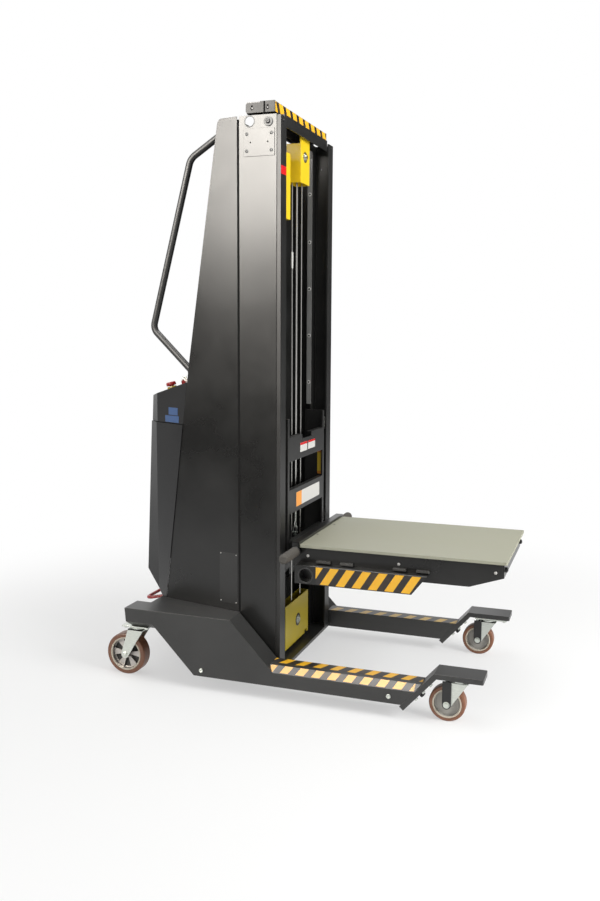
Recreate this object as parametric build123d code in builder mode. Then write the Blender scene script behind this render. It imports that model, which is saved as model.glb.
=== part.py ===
"""Server lift trolley: a straddle lifter that carries rack equipment on a flat platform.

Millimetres, +Z up, +X towards the platform, +Y to the left. The origin is on the floor,
under the middle of the whole trolley. Places along X are measured from the front of the
mast, which the planes below carry to its place.
"""

import os
from math import cos, radians, sin, tan

from build123d import *

os.makedirs("parts", exist_ok=True)

# Whole trolley
overall_height = 2088.0
front_reach = 824.0
rear_reach = 665.0
leg_span = 807.0
leg_width = 96.0
seat_gap = 0.3
fit_gap = 0.05
over = 2.0

# Legs and toes
leg_wall = 5.0
leg_top = 277.5
leg_low = 123.0
leg_bottom = 52.0
leg_heel = 560.0
heel_lean = 7.0
slope_top = 132.0
slope_foot = 15.0
belly_back = 276.0
shoulder_back = 417.0
rear_seat = 197.0
leg_nose = 502.0
leg_overlap = 100.0
edge_width = 28.5
edge_drop = 19.5
slope_edge_drop = 42.8
toe_angle = 48.4
toe_thick = 18.0
toe_height = 176.0
toe_front = 776.0
toe_hang = 7.0
toe_round = 6.0

# Casters
front_wheel = 125.0
rear_wheel = 160.0
front_tread = 40.0
rear_tread = 50.0
front_trail = 40.0
rear_trail = 48.0
front_swivel = 691.0
front_track_inset = 58.5
rear_swivel = 537.0
rear_track_inset = 69.5
caster_plate_t = 5.0
caster_plate_width = 74.0
front_plate_length = 126.0
rear_plate_length = 110.0
front_plate_shift = 12.0
race_radius = 32.0
race_height = 9.0
fork_wall = 4.0
fork_gap = 3.0
axle_radius = 6.0
axle_head = 10.0
axle_head_t = 6.0
axle_boss = 15.0
tyre_share = 0.2
tyre_round = 6.0
hub_rim = 5.0
hub_web = 9.0
hub_boss = 16.0
spoke_width = 13.0
spoke_round = 5.0
window_edge = 2.5
front_strap_width = 30.0
front_strap_t = 5.0
spoke_count = 6

# Base between the legs
tray_sheet = 6.0
base_plate_t = 12.0
base_lift = 4.0
tray_back = 500.0
seam_back = 137.0
seam_width = 8.0

# Mast rails and head
cap_height = 38.0
head_height = 40.0
rail_top_drop = 12.0
rail_clearance = 12.8
rail_front = 21.0
rail_lip = 54.0
rail_wall = 6.0
roller_diameter = 60.0
roller_gap = 0.5
back_sheet = 3.0
back_top_drop = 20.0
head_front = 14.0
head_back = 46.0
head_wall = 4.0
cap_front = 5.0
cap_back = 112.0
cap_inset = 16.0
cap_wall = 3.0
cap_corner = 8.0
cap_end_drop = 4.0
cap_end_t = 6.0
key_slot_head = 5.5
key_slot_neck = 3.0
key_slot_rise = 8.0
key_slot_places = (31.0, 89.0)

# Covers beside the mast
skin = 2.0
skin_clearance = 10.5
skin_top_drop = 9.0
skin_front = 6.0
hang_hole_radius = 16.5
hang_hole_back = 94.0
hang_hole_drop = 20.0
toe_in = 11.6
rear_top_back = 221.0
rear_knee_back = 357.0
rear_knee_height = 1182.0
rear_foot_back = 474.0
rear_corner = 20.0
inspection_back = 58.0
inspection_drop = 90.5
inspection_length = 114.0
inspection_tall = 93.0
inspection_t = 2.0
inspection_screw_x = 91.0
inspection_screw_z = 57.0
inspection_hole_pitch = 64.0
inspection_hole_radius = 2.5

# Console and battery cover at the rear
tail_split = 958.0
tail_split_gap = 2.0
tail_wall = 3.0
battery_proud = 3.0
console_knee_height = 1120.0
console_slope = 16.7
tail_shoulder_back = 529.0
tail_shoulder_inset = 117.0
tail_end_back_top = 566.0
tail_end_back_foot = 600.0
tail_end_inset = 160.0
undercut_height = 359.0
undercut_back = 507.0

# Push handles
handle_tube = 12.5
handle_wall = 2.5
handle_inset = 72.0
handle_bend = 55.0
handle_bend_low = 40.0
handle_top_back = 215.0
handle_top_drop = 30.0
handle_elbow_back = 354.0
handle_elbow_drop = 118.0
handle_low = (516.0, 1313.0)
handle_foot = (350.0, 1150.0)
handle_pad_radius = 20.0
handle_pad_t = 4.0

# Controls on the console
panel_plate_run = 88.0
panel_plate_inset = 55.0
panel_plate_t = 2.0
panel_plate_back = 470.0
stop_back = 478.0
stop_share = 5 / 6
stop_head_radius = 19.0
stop_head_t = 13.0
stop_stem_radius = 9.0
stop_collar_radius = 17.0
stop_collar_t = 10.0
stop_travel = 4.0
stop_edge = 4.5
control_row_back = 446.0
key_share = 8 / 15
key_radius = 9.0
key_length = 26.0
key_blade_t = 2.5
key_bow = 22.0
lever_share = 1 / 9
lever_radius = 5.0
lever_ball = 8.0
lever_length = 52.0
lever_knob_radius = 13.0
lever_ring_radius = 17.0
lever_ring_t = 6.0
gauge_share = 31 / 90
gauge_size = (44.0, 30.0)
gauge_t = 5.0

# Hoist
pulley_radius = 29.0
bottom_pulley_radius = 49.0
pulley_t = 10.0
pulley_lip = 5.0
pulley_bore = 6.0
rope_radius = 2.5
rope_plane = 27.0
transfer_plane = 45.0
pulley_drop = 58.0
bottom_pulley_height = 169.0
drum_radius = 42.0
drum_height = 400.0
drum_length = 64.0
drum_flange_radius = 49.0
drum_flange_t = 6.0
drum_start = 34.0
guard_sheet = 4.0
top_guard_half = 50.0
top_guard_drop = 97.0
top_guard_rise = 43.0
top_guard_front = 4.0
top_guard_depth = 56.0
bottom_guard_half = 133.0
bottom_guard_bottom = 85.0
bottom_guard_top = 258.0
bottom_guard_front = 17.0
bottom_guard_depth = 40.0
bottom_guard_notch = 14.0
bottom_guard_notch_width = 28.0
switch_cover_drop = 60.0
switch_cover_tall = 235.0
switch_cover_near = 150.0
switch_cover_far = 60.0
switch_cover_front = 30.0
switch_cover_depth = 90.0
motor_radius = 45.0
motor_length = 120.0
gearbox_length = 46.0
pedestal_t = 8.0
bolt_head_radius = 9.0
bolt_head_t = 6.0
washer_radius = 17.0
washer_t = 2.0

# Battery
battery_length = 150.0
battery_inset = 15.0
battery_height = 220.0
battery_back = 232.0
battery_round = 6.0
battery_count = 2
battery_pitch = 156.0

# Carriage
carriage_low = 480.0
carriage_high = 990.0
carriage_front = 20.0
carriage_back = 60.0
carriage_sheet = 6.0
upright_clearance = 27.7
upright_lip = 18.0
cross_back = 0.0
upper_cross = (830.0, 920.0)
lower_cross = (634.0, 723.0)
foot_cross = (480.0, 528.0)
notch_half = 55.0
notch_depth = 18.0
roller_heights = (545.0, 930.0)
roller_inset = 4.0
roller_width = 36.0
pin_radius = 9.0
arm_inset = 63.0
arm_width = 40.0
arm_low = 466.0
arm_wall = 4.0
arm_front = 700.0
eye_bar_half = 8.0
eye_bar_back = 33.0
eye_bar_low = 502.0
eye_bar_high = 512.0
eye_wire = 3.0
eye_radius = 11.0
ferrule_radius = 5.0
ferrule_length = 34.0
ferrule_top = 604.0
eye_bolt_radius = 4.0

# Platform
deck_top = 543.0
deck_t = 10.0
deck_back = 86.0
deck_clearance = 39.5
deck_round = 4.0
frame_inset = 18.0
frame_sheet = 3.0
frame_back = 58.0
frame_front = 813.0
frame_low = 443.0
frame_rise_start = 696.0
frame_front_low = 483.0
bar_front = 86.0
bar_back = 58.0
bar_top = 553.0
bar_overhang = 4.0
bar_wall = 3.0
guard_back = 78.0
guard_block = 57.0
guard_low = 408.0
guard_high = 475.0
guard_clearance = 10.5
guard_front_high = 558.0
guard_front_low = 506.0
guard_wall = 3.0
guard_lip = 14.0
socket_radius = 24.0
socket_place = 119.0
socket_height = 439.0
socket_depth = 40.0
tab_spans = ((146.0, 200.0), (237.0, 284.0), (430.0, 477.0), (513.0, 560.0))
tab_reach = 14.0
tab_low = 479.0
tab_high = 487.0
grip_place = 72.5
grip_height = 518.0
grip_radius = 18.0
grip_inset = 0.5
grip_pin_radius = 10.0
grip_cap_t = 13.0
screw_places = (112.0, 449.0, 784.0)
screw_height = 500.0
screw_radius = 5.0
screw_head_t = 3.0
latch_inset = 28.0
latch_height = 507.0
latch_radius = 9.0
latch_length = 10.0

# Foot brake
pedal_tube = 6.5
pedal_half = 100.0
pedal_pivot = (480.0, 258.0)
pedal_end = (640.0, 221.0)
pedal_bend = 35.0
pivot_radius = 7.0
pivot_sleeve = 10.0
ear_t = 6.0

# Small fasteners
hex_share = 0.55
hex_depth = 2.5
leg_bolts = ((-245.0, 75.0), (458.0, 77.0))
leg_bolt_radius = 8.0
leg_bolt_t = 5.0
button_radius = 6.0
button_t = 3.0
hanger_bolt_back = 24.0
hanger_bolt_drop = 24.0
hanger_ring_radius = 16.0
hanger_ring_t = 5.0
leg_hole = (-503.0, 221.0)
leg_hole_radius = 4.0
toe_bolt_radius = 6.5
toe_bolt_t = 8.0
toe_bolt_share = (0.28, 0.5, 0.72)
toe_bolt_y = 26.0
toe_knob_share = 0.38
toe_knob_radius = 10.0
toe_knob_t = 16.0

# Places that follow from the sizes
mast_x = (rear_reach - front_reach) / 2
leg_outer = leg_span / 2
leg_inner = leg_outer - leg_width
front_track = leg_outer - front_track_inset
rear_track = leg_outer - rear_track_inset
head_top = overall_height - cap_height
head_bottom = head_top - head_height
rail_top = head_top - rail_top_drop
back_top = head_top - back_top_drop
skin_top = head_top - skin_top_drop
hang_hole_height = skin_top - hang_hole_drop
hanger_bolt_height = skin_top - hanger_bolt_drop
inspection_height = skin_top - inspection_drop
pulley_height = head_bottom - pulley_drop
rail_outer = leg_inner - rail_clearance
skin_half = leg_inner - skin_clearance
cap_half = skin_half - cap_inset
tail_shoulder_half = skin_half - tail_shoulder_inset
tail_end_half = skin_half - tail_end_inset
battery_half = tail_shoulder_half - battery_inset
handle_half = skin_half - handle_inset
handle_top = (handle_top_back, skin_top - handle_top_drop)
handle_elbow = (handle_elbow_back, skin_top - handle_elbow_drop)
stop_place = (stop_back, -stop_share * tail_shoulder_half)
key_place = (control_row_back, -key_share * tail_shoulder_half)
lever_place = (control_row_back, -lever_share * tail_shoulder_half)
gauge_place = (control_row_back, gauge_share * tail_shoulder_half)
slope_grade = (leg_top - leg_low) / (slope_top + slope_foot)
toe_lean = radians(toe_angle)
nose_top = leg_nose + (leg_low - leg_bottom) / tan(toe_lean)
toe_bend = leg_nose + (toe_height - leg_bottom) / tan(toe_lean)
front_seat = toe_height - toe_thick
wall_back = seam_back + seam_width / 2
seam_front = seam_back - seam_width / 2
base_top = leg_bottom + base_lift + base_plate_t
rail_slot = roller_diameter + 2 * roller_gap
roller_x = rail_front - rail_wall - roller_gap - roller_diameter / 2
rail_back = rail_wall + rail_slot + rail_wall - rail_front
rail_inner = rail_outer - rail_lip
upright_outer = rail_inner - upright_clearance
arm_place = upright_outer - arm_inset
deck_half = leg_inner - deck_clearance
frame_half = deck_half - frame_inset
latch_half = frame_half - latch_inset
bar_half = deck_half + bar_overhang
guard_outer = leg_inner - guard_clearance
grip_end = leg_outer - grip_inset
grip_pin_end = grip_end - grip_cap_t
tail_foot = leg_top + seat_gap
deck_bottom = deck_top - deck_t
frame_top = deck_bottom
bar_bottom = frame_top - frame_sheet
arm_top = bar_bottom
lift_axis = pulley_radius
bottom_axis = 2 * pulley_radius - bottom_pulley_radius
drum_x = -transfer_plane - drum_radius
tail_grade = (tail_end_back_foot - tail_end_back_top) / (console_knee_height - undercut_height)


def side_plane(y):
    """Side view at a distance y from the middle: x forward, z up, normal to the right."""
    return Plane((mast_x, y, 0), x_dir=(1, 0, 0), z_dir=(0, -1, 0))


def plan_plane(z):
    """Plan view at a height z: x forward, y to the left."""
    return Plane((mast_x, 0, z), x_dir=(1, 0, 0), z_dir=(0, 0, 1))


def block(x_span, y_span, z_span, mode=Mode.ADD):
    """A box between two places along each axis."""
    centre = [sum(span) / 2 for span in (x_span, y_span, z_span)]
    sizes = [span[1] - span[0] for span in (x_span, y_span, z_span)]
    with Locations((mast_x + centre[0], centre[1], centre[2])):
        Box(*sizes, mode=mode)


def rod(start, end, radius, mode=Mode.ADD):
    """A round bar between two places."""
    shift = Vector(mast_x, 0, 0)
    run = Vector(*end) - Vector(*start)
    with BuildSketch(Plane(Vector(*start) + shift, z_dir=run)) as disc:
        Circle(radius)
    extrude(disc.sketch, amount=run.length, mode=mode)


cover_run = rear_knee_back - rear_top_back
cover_rise = skin_top - rear_knee_height
cover_normal = Vector(-cover_rise, 0, cover_run)


def cover_crossing(inner, outer):
    """Where a handle's end run, given by two places, meets the back cover's face."""
    depths = [
        back - rear_top_back - (skin_top - height) * cover_run / cover_rise
        for back, height in (inner, outer)
    ]
    share = depths[0] / (depths[0] - depths[1])
    back = inner[0] + (outer[0] - inner[0]) * share
    height = inner[1] + (outer[1] - inner[1]) * share
    return Vector(mast_x - back, -handle_half, height)


def tube_path(points, bends):
    """The middle line of a bent tube, from places measured from the mast's front."""
    shifted = [Vector(*point) + Vector(mast_x, 0, 0) for point in points]
    with BuildLine() as path:
        FilletPolyline(*shifted, radius=bends)
    return path.line


def mirrored(part):
    """The left-hand copy of a right-hand piece."""
    with BuildPart() as other:
        mirror(part, about=Plane.XZ)
    return other.part


def keep(part, name):
    """Name a finished piece and write its file."""
    part.label = name
    export_step(part, f"parts/{name}.step")


# Legs: folded sheet, open below, with a broad bevel on the outer top edge
def leg_block(inset=0):
    """One right leg, or with an inset the space inside its sheet."""
    depth = leg_width - 2 * inset
    start = side_plane(-(leg_inner + inset))
    slope_low = -slope_top + (leg_top - leg_bottom) / slope_grade
    with BuildPart() as rear:
        with BuildSketch(start):
            with BuildLine():
                Polyline(
                    (-leg_heel, leg_top),
                    (-slope_top, leg_top),
                    (slope_low, leg_bottom),
                    (-belly_back, leg_bottom),
                    (-shoulder_back, rear_seat),
                    (-leg_heel + heel_lean, rear_seat),
                    close=True,
                )
            make_face()
            if inset:
                offset(amount=-inset, kind=Kind.INTERSECTION, mode=Mode.REPLACE)
        extrude(amount=depth)
        slope = rear.faces().sort_by(Axis.Z)[-3:].sort_by(lambda face: -face.normal_at().X)[0]
        outer_edge = slope.edges().sort_by(Axis.Y)[0]
        chamfer(outer_edge, length=slope_edge_drop, length2=edge_width, reference=slope)
    with BuildPart() as low:
        with BuildSketch(start):
            with BuildLine():
                Polyline(
                    (-leg_overlap, leg_bottom),
                    (leg_nose, leg_bottom),
                    (nose_top, leg_low),
                    (-leg_overlap, leg_low),
                    close=True,
                )
            make_face()
            if inset:
                offset(amount=-inset, kind=Kind.INTERSECTION, mode=Mode.REPLACE)
        extrude(amount=depth)
        top = low.faces().sort_by(Axis.Z)[-1]
        outer_edge = top.edges().sort_by(Axis.Y)[0]
        chamfer(outer_edge, length=edge_width, length2=edge_drop, reference=top)
    with BuildPart() as whole:
        add(rear.part)
        add(low.part)
    return whole.part


with BuildPart() as right_leg:
    add(leg_block())
    add(leg_block(leg_wall), mode=Mode.SUBTRACT)
    block(
        (-belly_back + 2 * leg_wall, leg_nose - leg_wall),
        (-leg_outer + leg_wall, -leg_inner - leg_wall),
        (leg_bottom - over, leg_bottom + leg_wall + over),
        mode=Mode.SUBTRACT,
    )
    with BuildSketch(side_plane(-leg_outer - over)):
        with Locations(leg_hole):
            Circle(leg_hole_radius)
    extrude(amount=-leg_wall - 2 * over, mode=Mode.SUBTRACT)

# Toes: thick plates folded up over the front casters
with BuildPart() as right_toe:
    foot_x = leg_nose - toe_hang / tan(toe_lean)
    foot_z = leg_bottom - toe_hang
    with BuildSketch(side_plane(-leg_inner)):
        with BuildLine():
            Polyline(
                (foot_x, foot_z),
                (toe_bend, toe_height),
                (toe_front, toe_height),
                (toe_front, front_seat),
                (toe_bend + toe_thick * tan(toe_lean / 2), front_seat),
                (foot_x + toe_thick * sin(toe_lean), foot_z - toe_thick * cos(toe_lean)),
                close=True,
            )
        make_face()
    extrude(amount=leg_width)
    toe_tip = right_toe.faces().sort_by(Axis.X)[-1]
    fillet(toe_tip.edges().filter_by(Axis.Z), radius=toe_round)

# Base tray: floor sheet at the rear, upright wall and front plate between the legs
with BuildPart() as base_tray:
    with BuildSketch(side_plane(leg_inner)):
        with BuildLine():
            Polyline(
                (-tray_back, leg_top),
                (-wall_back + tray_sheet, leg_top),
                (-wall_back + tray_sheet, base_top),
                (rail_front, base_top),
                (rail_front, leg_bottom + base_lift),
                (-wall_back, leg_bottom + base_lift),
                (-wall_back, leg_top - tray_sheet),
                (-tray_back, leg_top - tray_sheet),
                close=True,
            )
        make_face()
    extrude(amount=2 * leg_inner)
    ear_inner = pedal_half + pivot_sleeve + seat_gap
    for side in (-1, 1):
        block(
            (-pedal_pivot[0] - pivot_sleeve, -pedal_pivot[0] + pivot_sleeve),
            sorted((side * ear_inner, side * (ear_inner + ear_t))),
            (pedal_pivot[1] - pivot_sleeve, leg_top - tray_sheet),
        )
    rod(
        (-pedal_pivot[0], -ear_inner - ear_t, pedal_pivot[1]),
        (-pedal_pivot[0], ear_inner + ear_t, pedal_pivot[1]),
        pivot_radius,
    )

# Mast rails: lipped channels that the carriage rollers run in
with BuildPart() as right_rail:
    with BuildSketch(plan_plane(base_top)):
        with BuildLine():
            Polyline(
                (rail_front, -rail_outer),
                (rail_front, -rail_inner),
                (rail_front - rail_wall, -rail_inner),
                (rail_front - rail_wall, -rail_outer + rail_wall),
                (rail_front - rail_wall - rail_slot, -rail_outer + rail_wall),
                (rail_front - rail_wall - rail_slot, -rail_inner),
                (-rail_back, -rail_inner),
                (-rail_back, -rail_outer),
                close=True,
            )
        make_face()
    extrude(amount=rail_top - base_top)
    with BuildSketch(side_plane(-rail_outer - over)):
        with Locations((-inspection_back + inspection_hole_pitch / 2, inspection_height)):
            Circle(inspection_hole_radius + seat_gap)
    extrude(amount=-rail_wall - 2 * over, mode=Mode.SUBTRACT)

# Back sheet of the mast, with flanges behind the rails
with BuildPart() as mast_back_panel:
    with BuildSketch(plan_plane(leg_top + seat_gap)):
        with BuildLine():
            Polyline(
                (-rail_back - seat_gap, -rail_outer),
                (-wall_back, -rail_outer),
                (-wall_back, rail_outer),
                (-rail_back - seat_gap, rail_outer),
                (-rail_back - seat_gap, rail_outer - back_sheet),
                (-wall_back + back_sheet, rail_outer - back_sheet),
                (-wall_back + back_sheet, -rail_outer + back_sheet),
                (-rail_back - seat_gap, -rail_outer + back_sheet),
                close=True,
            )
        make_face()
    extrude(amount=back_top - leg_top - seat_gap)
    with BuildSketch(side_plane(-rail_outer - over)):
        with Locations((-hang_hole_back, hang_hole_height)):
            Circle(hang_hole_radius + over)
        with Locations((-inspection_back - inspection_hole_pitch / 2, inspection_height)):
            Circle(inspection_hole_radius + seat_gap)
    extrude(amount=-2 * (rail_outer + over), mode=Mode.SUBTRACT)

# Head beam across the rail tops, open below
with BuildPart() as head_beam:
    head_half = rail_inner - seat_gap
    block((-head_back, head_front), (-head_half, head_half), (head_bottom, head_top))
    block(
        (-head_back + head_wall, head_front - head_wall),
        (-head_half - over, head_half + over),
        (head_bottom - over, head_top - head_wall),
        mode=Mode.SUBTRACT,
    )

# Cap over the mast, with a slotted plate at each end
with BuildPart() as mast_cap:
    block((-cap_back, -cap_front), (-cap_half, cap_half), (head_top, overall_height))
    fillet(mast_cap.edges().filter_by(Axis.Y).group_by(Axis.Z)[-1], radius=cap_wall)
    block(
        (-cap_back + cap_wall, -cap_front - cap_wall),
        (-cap_half - over, cap_half + over),
        (head_top - over, overall_height - cap_wall),
        mode=Mode.SUBTRACT,
    )

with BuildPart() as cap_ends:
    for side in (-1, 1):
        with BuildSketch(side_plane(side * (cap_half + cap_end_t / 2) + cap_end_t / 2)):
            with BuildLine():
                Polyline(
                    (-cap_back, head_top + seat_gap),
                    (-cap_front, head_top + seat_gap),
                    (-cap_front, overall_height),
                    (-cap_back + (cap_back - cap_front) / 2, overall_height),
                    (-cap_back + (cap_back - cap_front) / 2, overall_height - cap_end_drop),
                    (-cap_back, overall_height - cap_end_drop),
                    close=True,
                )
            make_face()
            heel = vertices().group_by(Axis.X)[0]
            fillet(heel, radius=cap_corner)
        extrude(amount=cap_end_t)
    slot_height = (head_top + overall_height) / 2
    for place in key_slot_places:
        with BuildSketch(side_plane(cap_half + cap_end_t + over)):
            with Locations((-place, slot_height - key_slot_rise / 2)):
                Circle(key_slot_head)
            with Locations((-place, slot_height)):
                SlotOverall(key_slot_rise + 2 * key_slot_neck, 2 * key_slot_neck, rotation=90)
        extrude(amount=2 * (cap_half + cap_end_t + over), mode=Mode.SUBTRACT)

# Side sheets of the column, with a return fold along the seam
with BuildPart() as right_column_panel:
    with BuildSketch(plan_plane(base_top + seat_gap)):
        with BuildLine():
            Polyline(
                (skin_front, -skin_half),
                (-seam_front, -skin_half),
                (-seam_front, -skin_half + skin),
                (skin_front, -skin_half + skin),
                close=True,
            )
        make_face()
    extrude(amount=skin_top - base_top - seat_gap)
    with BuildSketch(side_plane(-skin_half - over)):
        with Locations((-hang_hole_back, hang_hole_height)):
            Circle(hang_hole_radius)
        with Locations((-inspection_back, inspection_height)):
            with GridLocations(inspection_hole_pitch, inspection_tall, 2, 1):
                Circle(inspection_hole_radius)
    extrude(amount=-skin - 2 * over, mode=Mode.SUBTRACT)

# Rear side sheets, which lean in behind the seam
toe_in_run = cos(radians(toe_in))
rear_plane = Plane(
    (mast_x - wall_back - seat_gap, -skin_half, 0),
    x_dir=(-toe_in_run, sin(radians(toe_in)), 0),
    z_dir=(sin(radians(toe_in)), toe_in_run, 0),
)


def along_rear(back):
    """Distance along the rear sheet for a place behind the mast's front."""
    return (back - wall_back - seat_gap) / toe_in_run


def rear_half(back):
    """Half width over the rear sheets at a place behind the mast's front."""
    return skin_half - (back - wall_back - seat_gap) * tan(radians(toe_in))


with BuildPart() as right_rear_panel:
    with BuildSketch(rear_plane):
        with BuildLine():
            Polyline(
                (0, leg_top + seat_gap),
                (0, skin_top),
                (along_rear(rear_top_back), skin_top),
                (along_rear(rear_knee_back), rear_knee_height),
                (along_rear(rear_foot_back), leg_top + seat_gap),
                close=True,
            )
        make_face()
        top_corner = vertices().group_by(Axis.Y)[-1].sort_by(Axis.X)[-1]
        fillet(top_corner, radius=rear_corner)
    extrude(amount=skin)

# Back cover between the rear sheets, above the console
with BuildPart() as back_cover:
    knee_drop = rear_knee_height - console_knee_height
    foot_grade = (rear_foot_back - rear_knee_back) / (rear_knee_height - leg_top)
    cover_foot = rear_knee_back + knee_drop * foot_grade
    cover_lean = (rear_knee_back - rear_top_back) / (skin_top - rear_knee_height)
    cover_top = skin_top - rear_corner
    with BuildSketch(side_plane(skin_half)):
        with BuildLine():
            Polyline(
                (-rear_top_back - rear_corner * cover_lean, cover_top),
                (-rear_knee_back, rear_knee_height),
                (-cover_foot, console_knee_height),
                (-cover_foot + skin, console_knee_height),
                (-rear_knee_back + skin, rear_knee_height),
                (-rear_top_back - rear_corner * cover_lean + skin, cover_top),
                close=True,
            )
        make_face()
    extrude(amount=2 * skin_half)
    inner_shift = skin / toe_in_run + seat_gap
    for side in (-1, 1):
        trim = Plane(
            (mast_x - wall_back - seat_gap, side * (skin_half - inner_shift), 0),
            x_dir=(0, 0, 1),
            z_dir=(sin(radians(toe_in)), -side * toe_in_run, 0),
        )
        split(bisect_by=trim, keep=Keep.TOP)


# Console and battery cover: one tapered form, parted by a level seam
def tail_outline(height, proud, inset=0):
    """Plan of the tail at a height: right-hand corners from the mast to the rear."""
    knee = rear_knee_back + (rear_knee_height - height) * (
        (rear_foot_back - rear_knee_back) / (rear_knee_height - leg_top)
    )
    end = tail_end_back_top + (console_knee_height - height) * tail_grade
    grow = proud - inset
    return [
        (-knee - seat_gap, -rear_half(knee) - grow),
        (-tail_shoulder_back - grow, -tail_shoulder_half - grow),
        (-end - grow, -tail_end_half - grow / 2),
    ]


def tail_block(low, high, proud, inset=0):
    """The solid tail between two heights."""
    with BuildPart() as form:
        for height in (low, high):
            right = tail_outline(height, proud, inset)
            left = [(x, -y) for x, y in reversed(right)]
            with BuildSketch(plan_plane(height)):
                with BuildLine():
                    Polyline(*right, *left, close=True)
                make_face()
        loft(ruled=True)
    return form.part


def console_top(drop):
    """Plane of the console's sloping top, with the normal up."""
    return Plane(
        (mast_x - rear_knee_back, 0, console_knee_height - drop),
        x_dir=(cos(radians(console_slope)), 0, sin(radians(console_slope))),
        z_dir=(-sin(radians(console_slope)), 0, cos(radians(console_slope))),
    )


with BuildPart() as console_housing:
    add(tail_block(tail_split + tail_split_gap / 2, console_knee_height, 0))
    split(bisect_by=console_top(0), keep=Keep.BOTTOM)
    with BuildPart(mode=Mode.PRIVATE) as hollow:
        add(tail_block(tail_split - over, console_knee_height, 0, tail_wall))
        split(bisect_by=console_top(tail_wall), keep=Keep.BOTTOM)
    add(hollow.part, mode=Mode.SUBTRACT)

with BuildPart() as battery_cover:
    add(tail_block(tail_foot, tail_split - tail_split_gap / 2, battery_proud))
    undercut_run = tail_end_back_foot + over - undercut_back
    undercut_grade = (undercut_height - tail_foot) / (tail_end_back_foot - undercut_back)
    with BuildSketch(side_plane(skin_half)):
        with BuildLine():
            Polyline(
                (-undercut_back + over / undercut_grade, tail_foot - over),
                (-undercut_back - 2 * undercut_run, tail_foot - over),
                (-undercut_back - 2 * undercut_run, tail_foot + 2 * undercut_run * undercut_grade),
                close=True,
            )
        make_face()
    extrude(amount=2 * skin_half, mode=Mode.SUBTRACT)
    add(tail_block(tail_foot - over, tail_split + over, battery_proud, tail_wall), mode=Mode.SUBTRACT)

# Push handles: bent tubes on round pads
handle_points = [handle_top, handle_elbow, handle_low, handle_foot]
with BuildPart() as right_push_handle:
    line = tube_path(
        [(-back, -handle_half, height) for back, height in handle_points],
        (handle_bend, handle_bend_low),
    )
    with BuildSketch(Plane(line @ 0, z_dir=line % 0)):
        Circle(handle_tube)
        Circle(handle_tube - handle_wall, mode=Mode.SUBTRACT)
    sweep(path=line)
    for inner, outer in ((handle_top, handle_elbow), (handle_foot, handle_low)):
        with BuildSketch(Plane(cover_crossing(inner, outer), z_dir=cover_normal)):
            Circle(handle_pad_radius)
        extrude(amount=handle_pad_t)
    skin_face = Plane(cover_crossing(handle_top, handle_elbow), z_dir=cover_normal)
    split(bisect_by=skin_face.offset(seat_gap), keep=Keep.TOP)


# Inspection plates on the column sides
with BuildPart() as cover_plates:
    inspection_x = -inspection_back
    plate_y = skin_half + seat_gap / 2
    for side in (-1, 1):
        start_y = side * (plate_y + inspection_t / 2) + inspection_t / 2
        with BuildSketch(side_plane(start_y)):
            with Locations((inspection_x, inspection_height)):
                RectangleRounded(inspection_length, inspection_tall, skin)
            with Locations((inspection_x, inspection_height)):
                with GridLocations(inspection_hole_pitch, inspection_tall, 2, 1):
                    Circle(inspection_hole_radius, mode=Mode.SUBTRACT)
        extrude(amount=inspection_t)

# Casters: plate, fork with its axle, hub and tyre, the wheel trailing to the rear
front_caster = dict(
    x=front_swivel,
    y=-front_track,
    wheel=front_wheel / 2,
    tread=front_tread,
    trail=front_trail,
    seat=front_seat,
)
rear_caster = dict(
    x=-rear_swivel,
    y=-rear_track,
    wheel=rear_wheel / 2,
    tread=rear_tread,
    trail=rear_trail,
    seat=rear_seat,
)


def caster_fork(x, y, wheel, tread, trail, seat, strap):
    """Swivel race, crown and two cheeks, with the axle bolt between them."""
    race_top = seat - caster_plate_t - seat_gap
    crown_top = race_top - race_height
    inner = tread / 2 + fork_gap
    with BuildPart() as fork:
        rod((x, y, crown_top), (x, y, race_top), race_radius)
        block(
            (x - race_radius, x + race_radius),
            (y - inner - fork_wall, y + inner + fork_wall),
            (crown_top - fork_wall, crown_top),
        )
        for side in (-1, 1):
            start_y = y + side * (inner + fork_wall / 2) + fork_wall / 2
            with BuildSketch(side_plane(start_y)):
                with Locations((x - trail, wheel)):
                    Circle(axle_boss)
                with BuildLine():
                    Line((x - race_radius, crown_top), (x + race_radius, crown_top))
                make_hull()
            extrude(amount=fork_wall)
            if strap:
                strap_y = y + side * (inner + fork_wall + front_strap_t / 2) + front_strap_t / 2
                with BuildSketch(side_plane(strap_y)):
                    with Locations((x - trail, (wheel - axle_boss + crown_top) / 2)):
                        Rectangle(front_strap_width, crown_top - wheel + axle_boss)
                extrude(amount=front_strap_t)
        outer = inner + fork_wall + (front_strap_t if strap else 0)
        rod((x - trail, y - outer, wheel), (x - trail, y + outer, wheel), axle_radius)
        for side in (-1, 1):
            head_start = (x - trail, y + side * outer, wheel)
            head_end = (x - trail, y + side * (outer + axle_head_t), wheel)
            rod(head_start, head_end, axle_head)
    return fork.part


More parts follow.
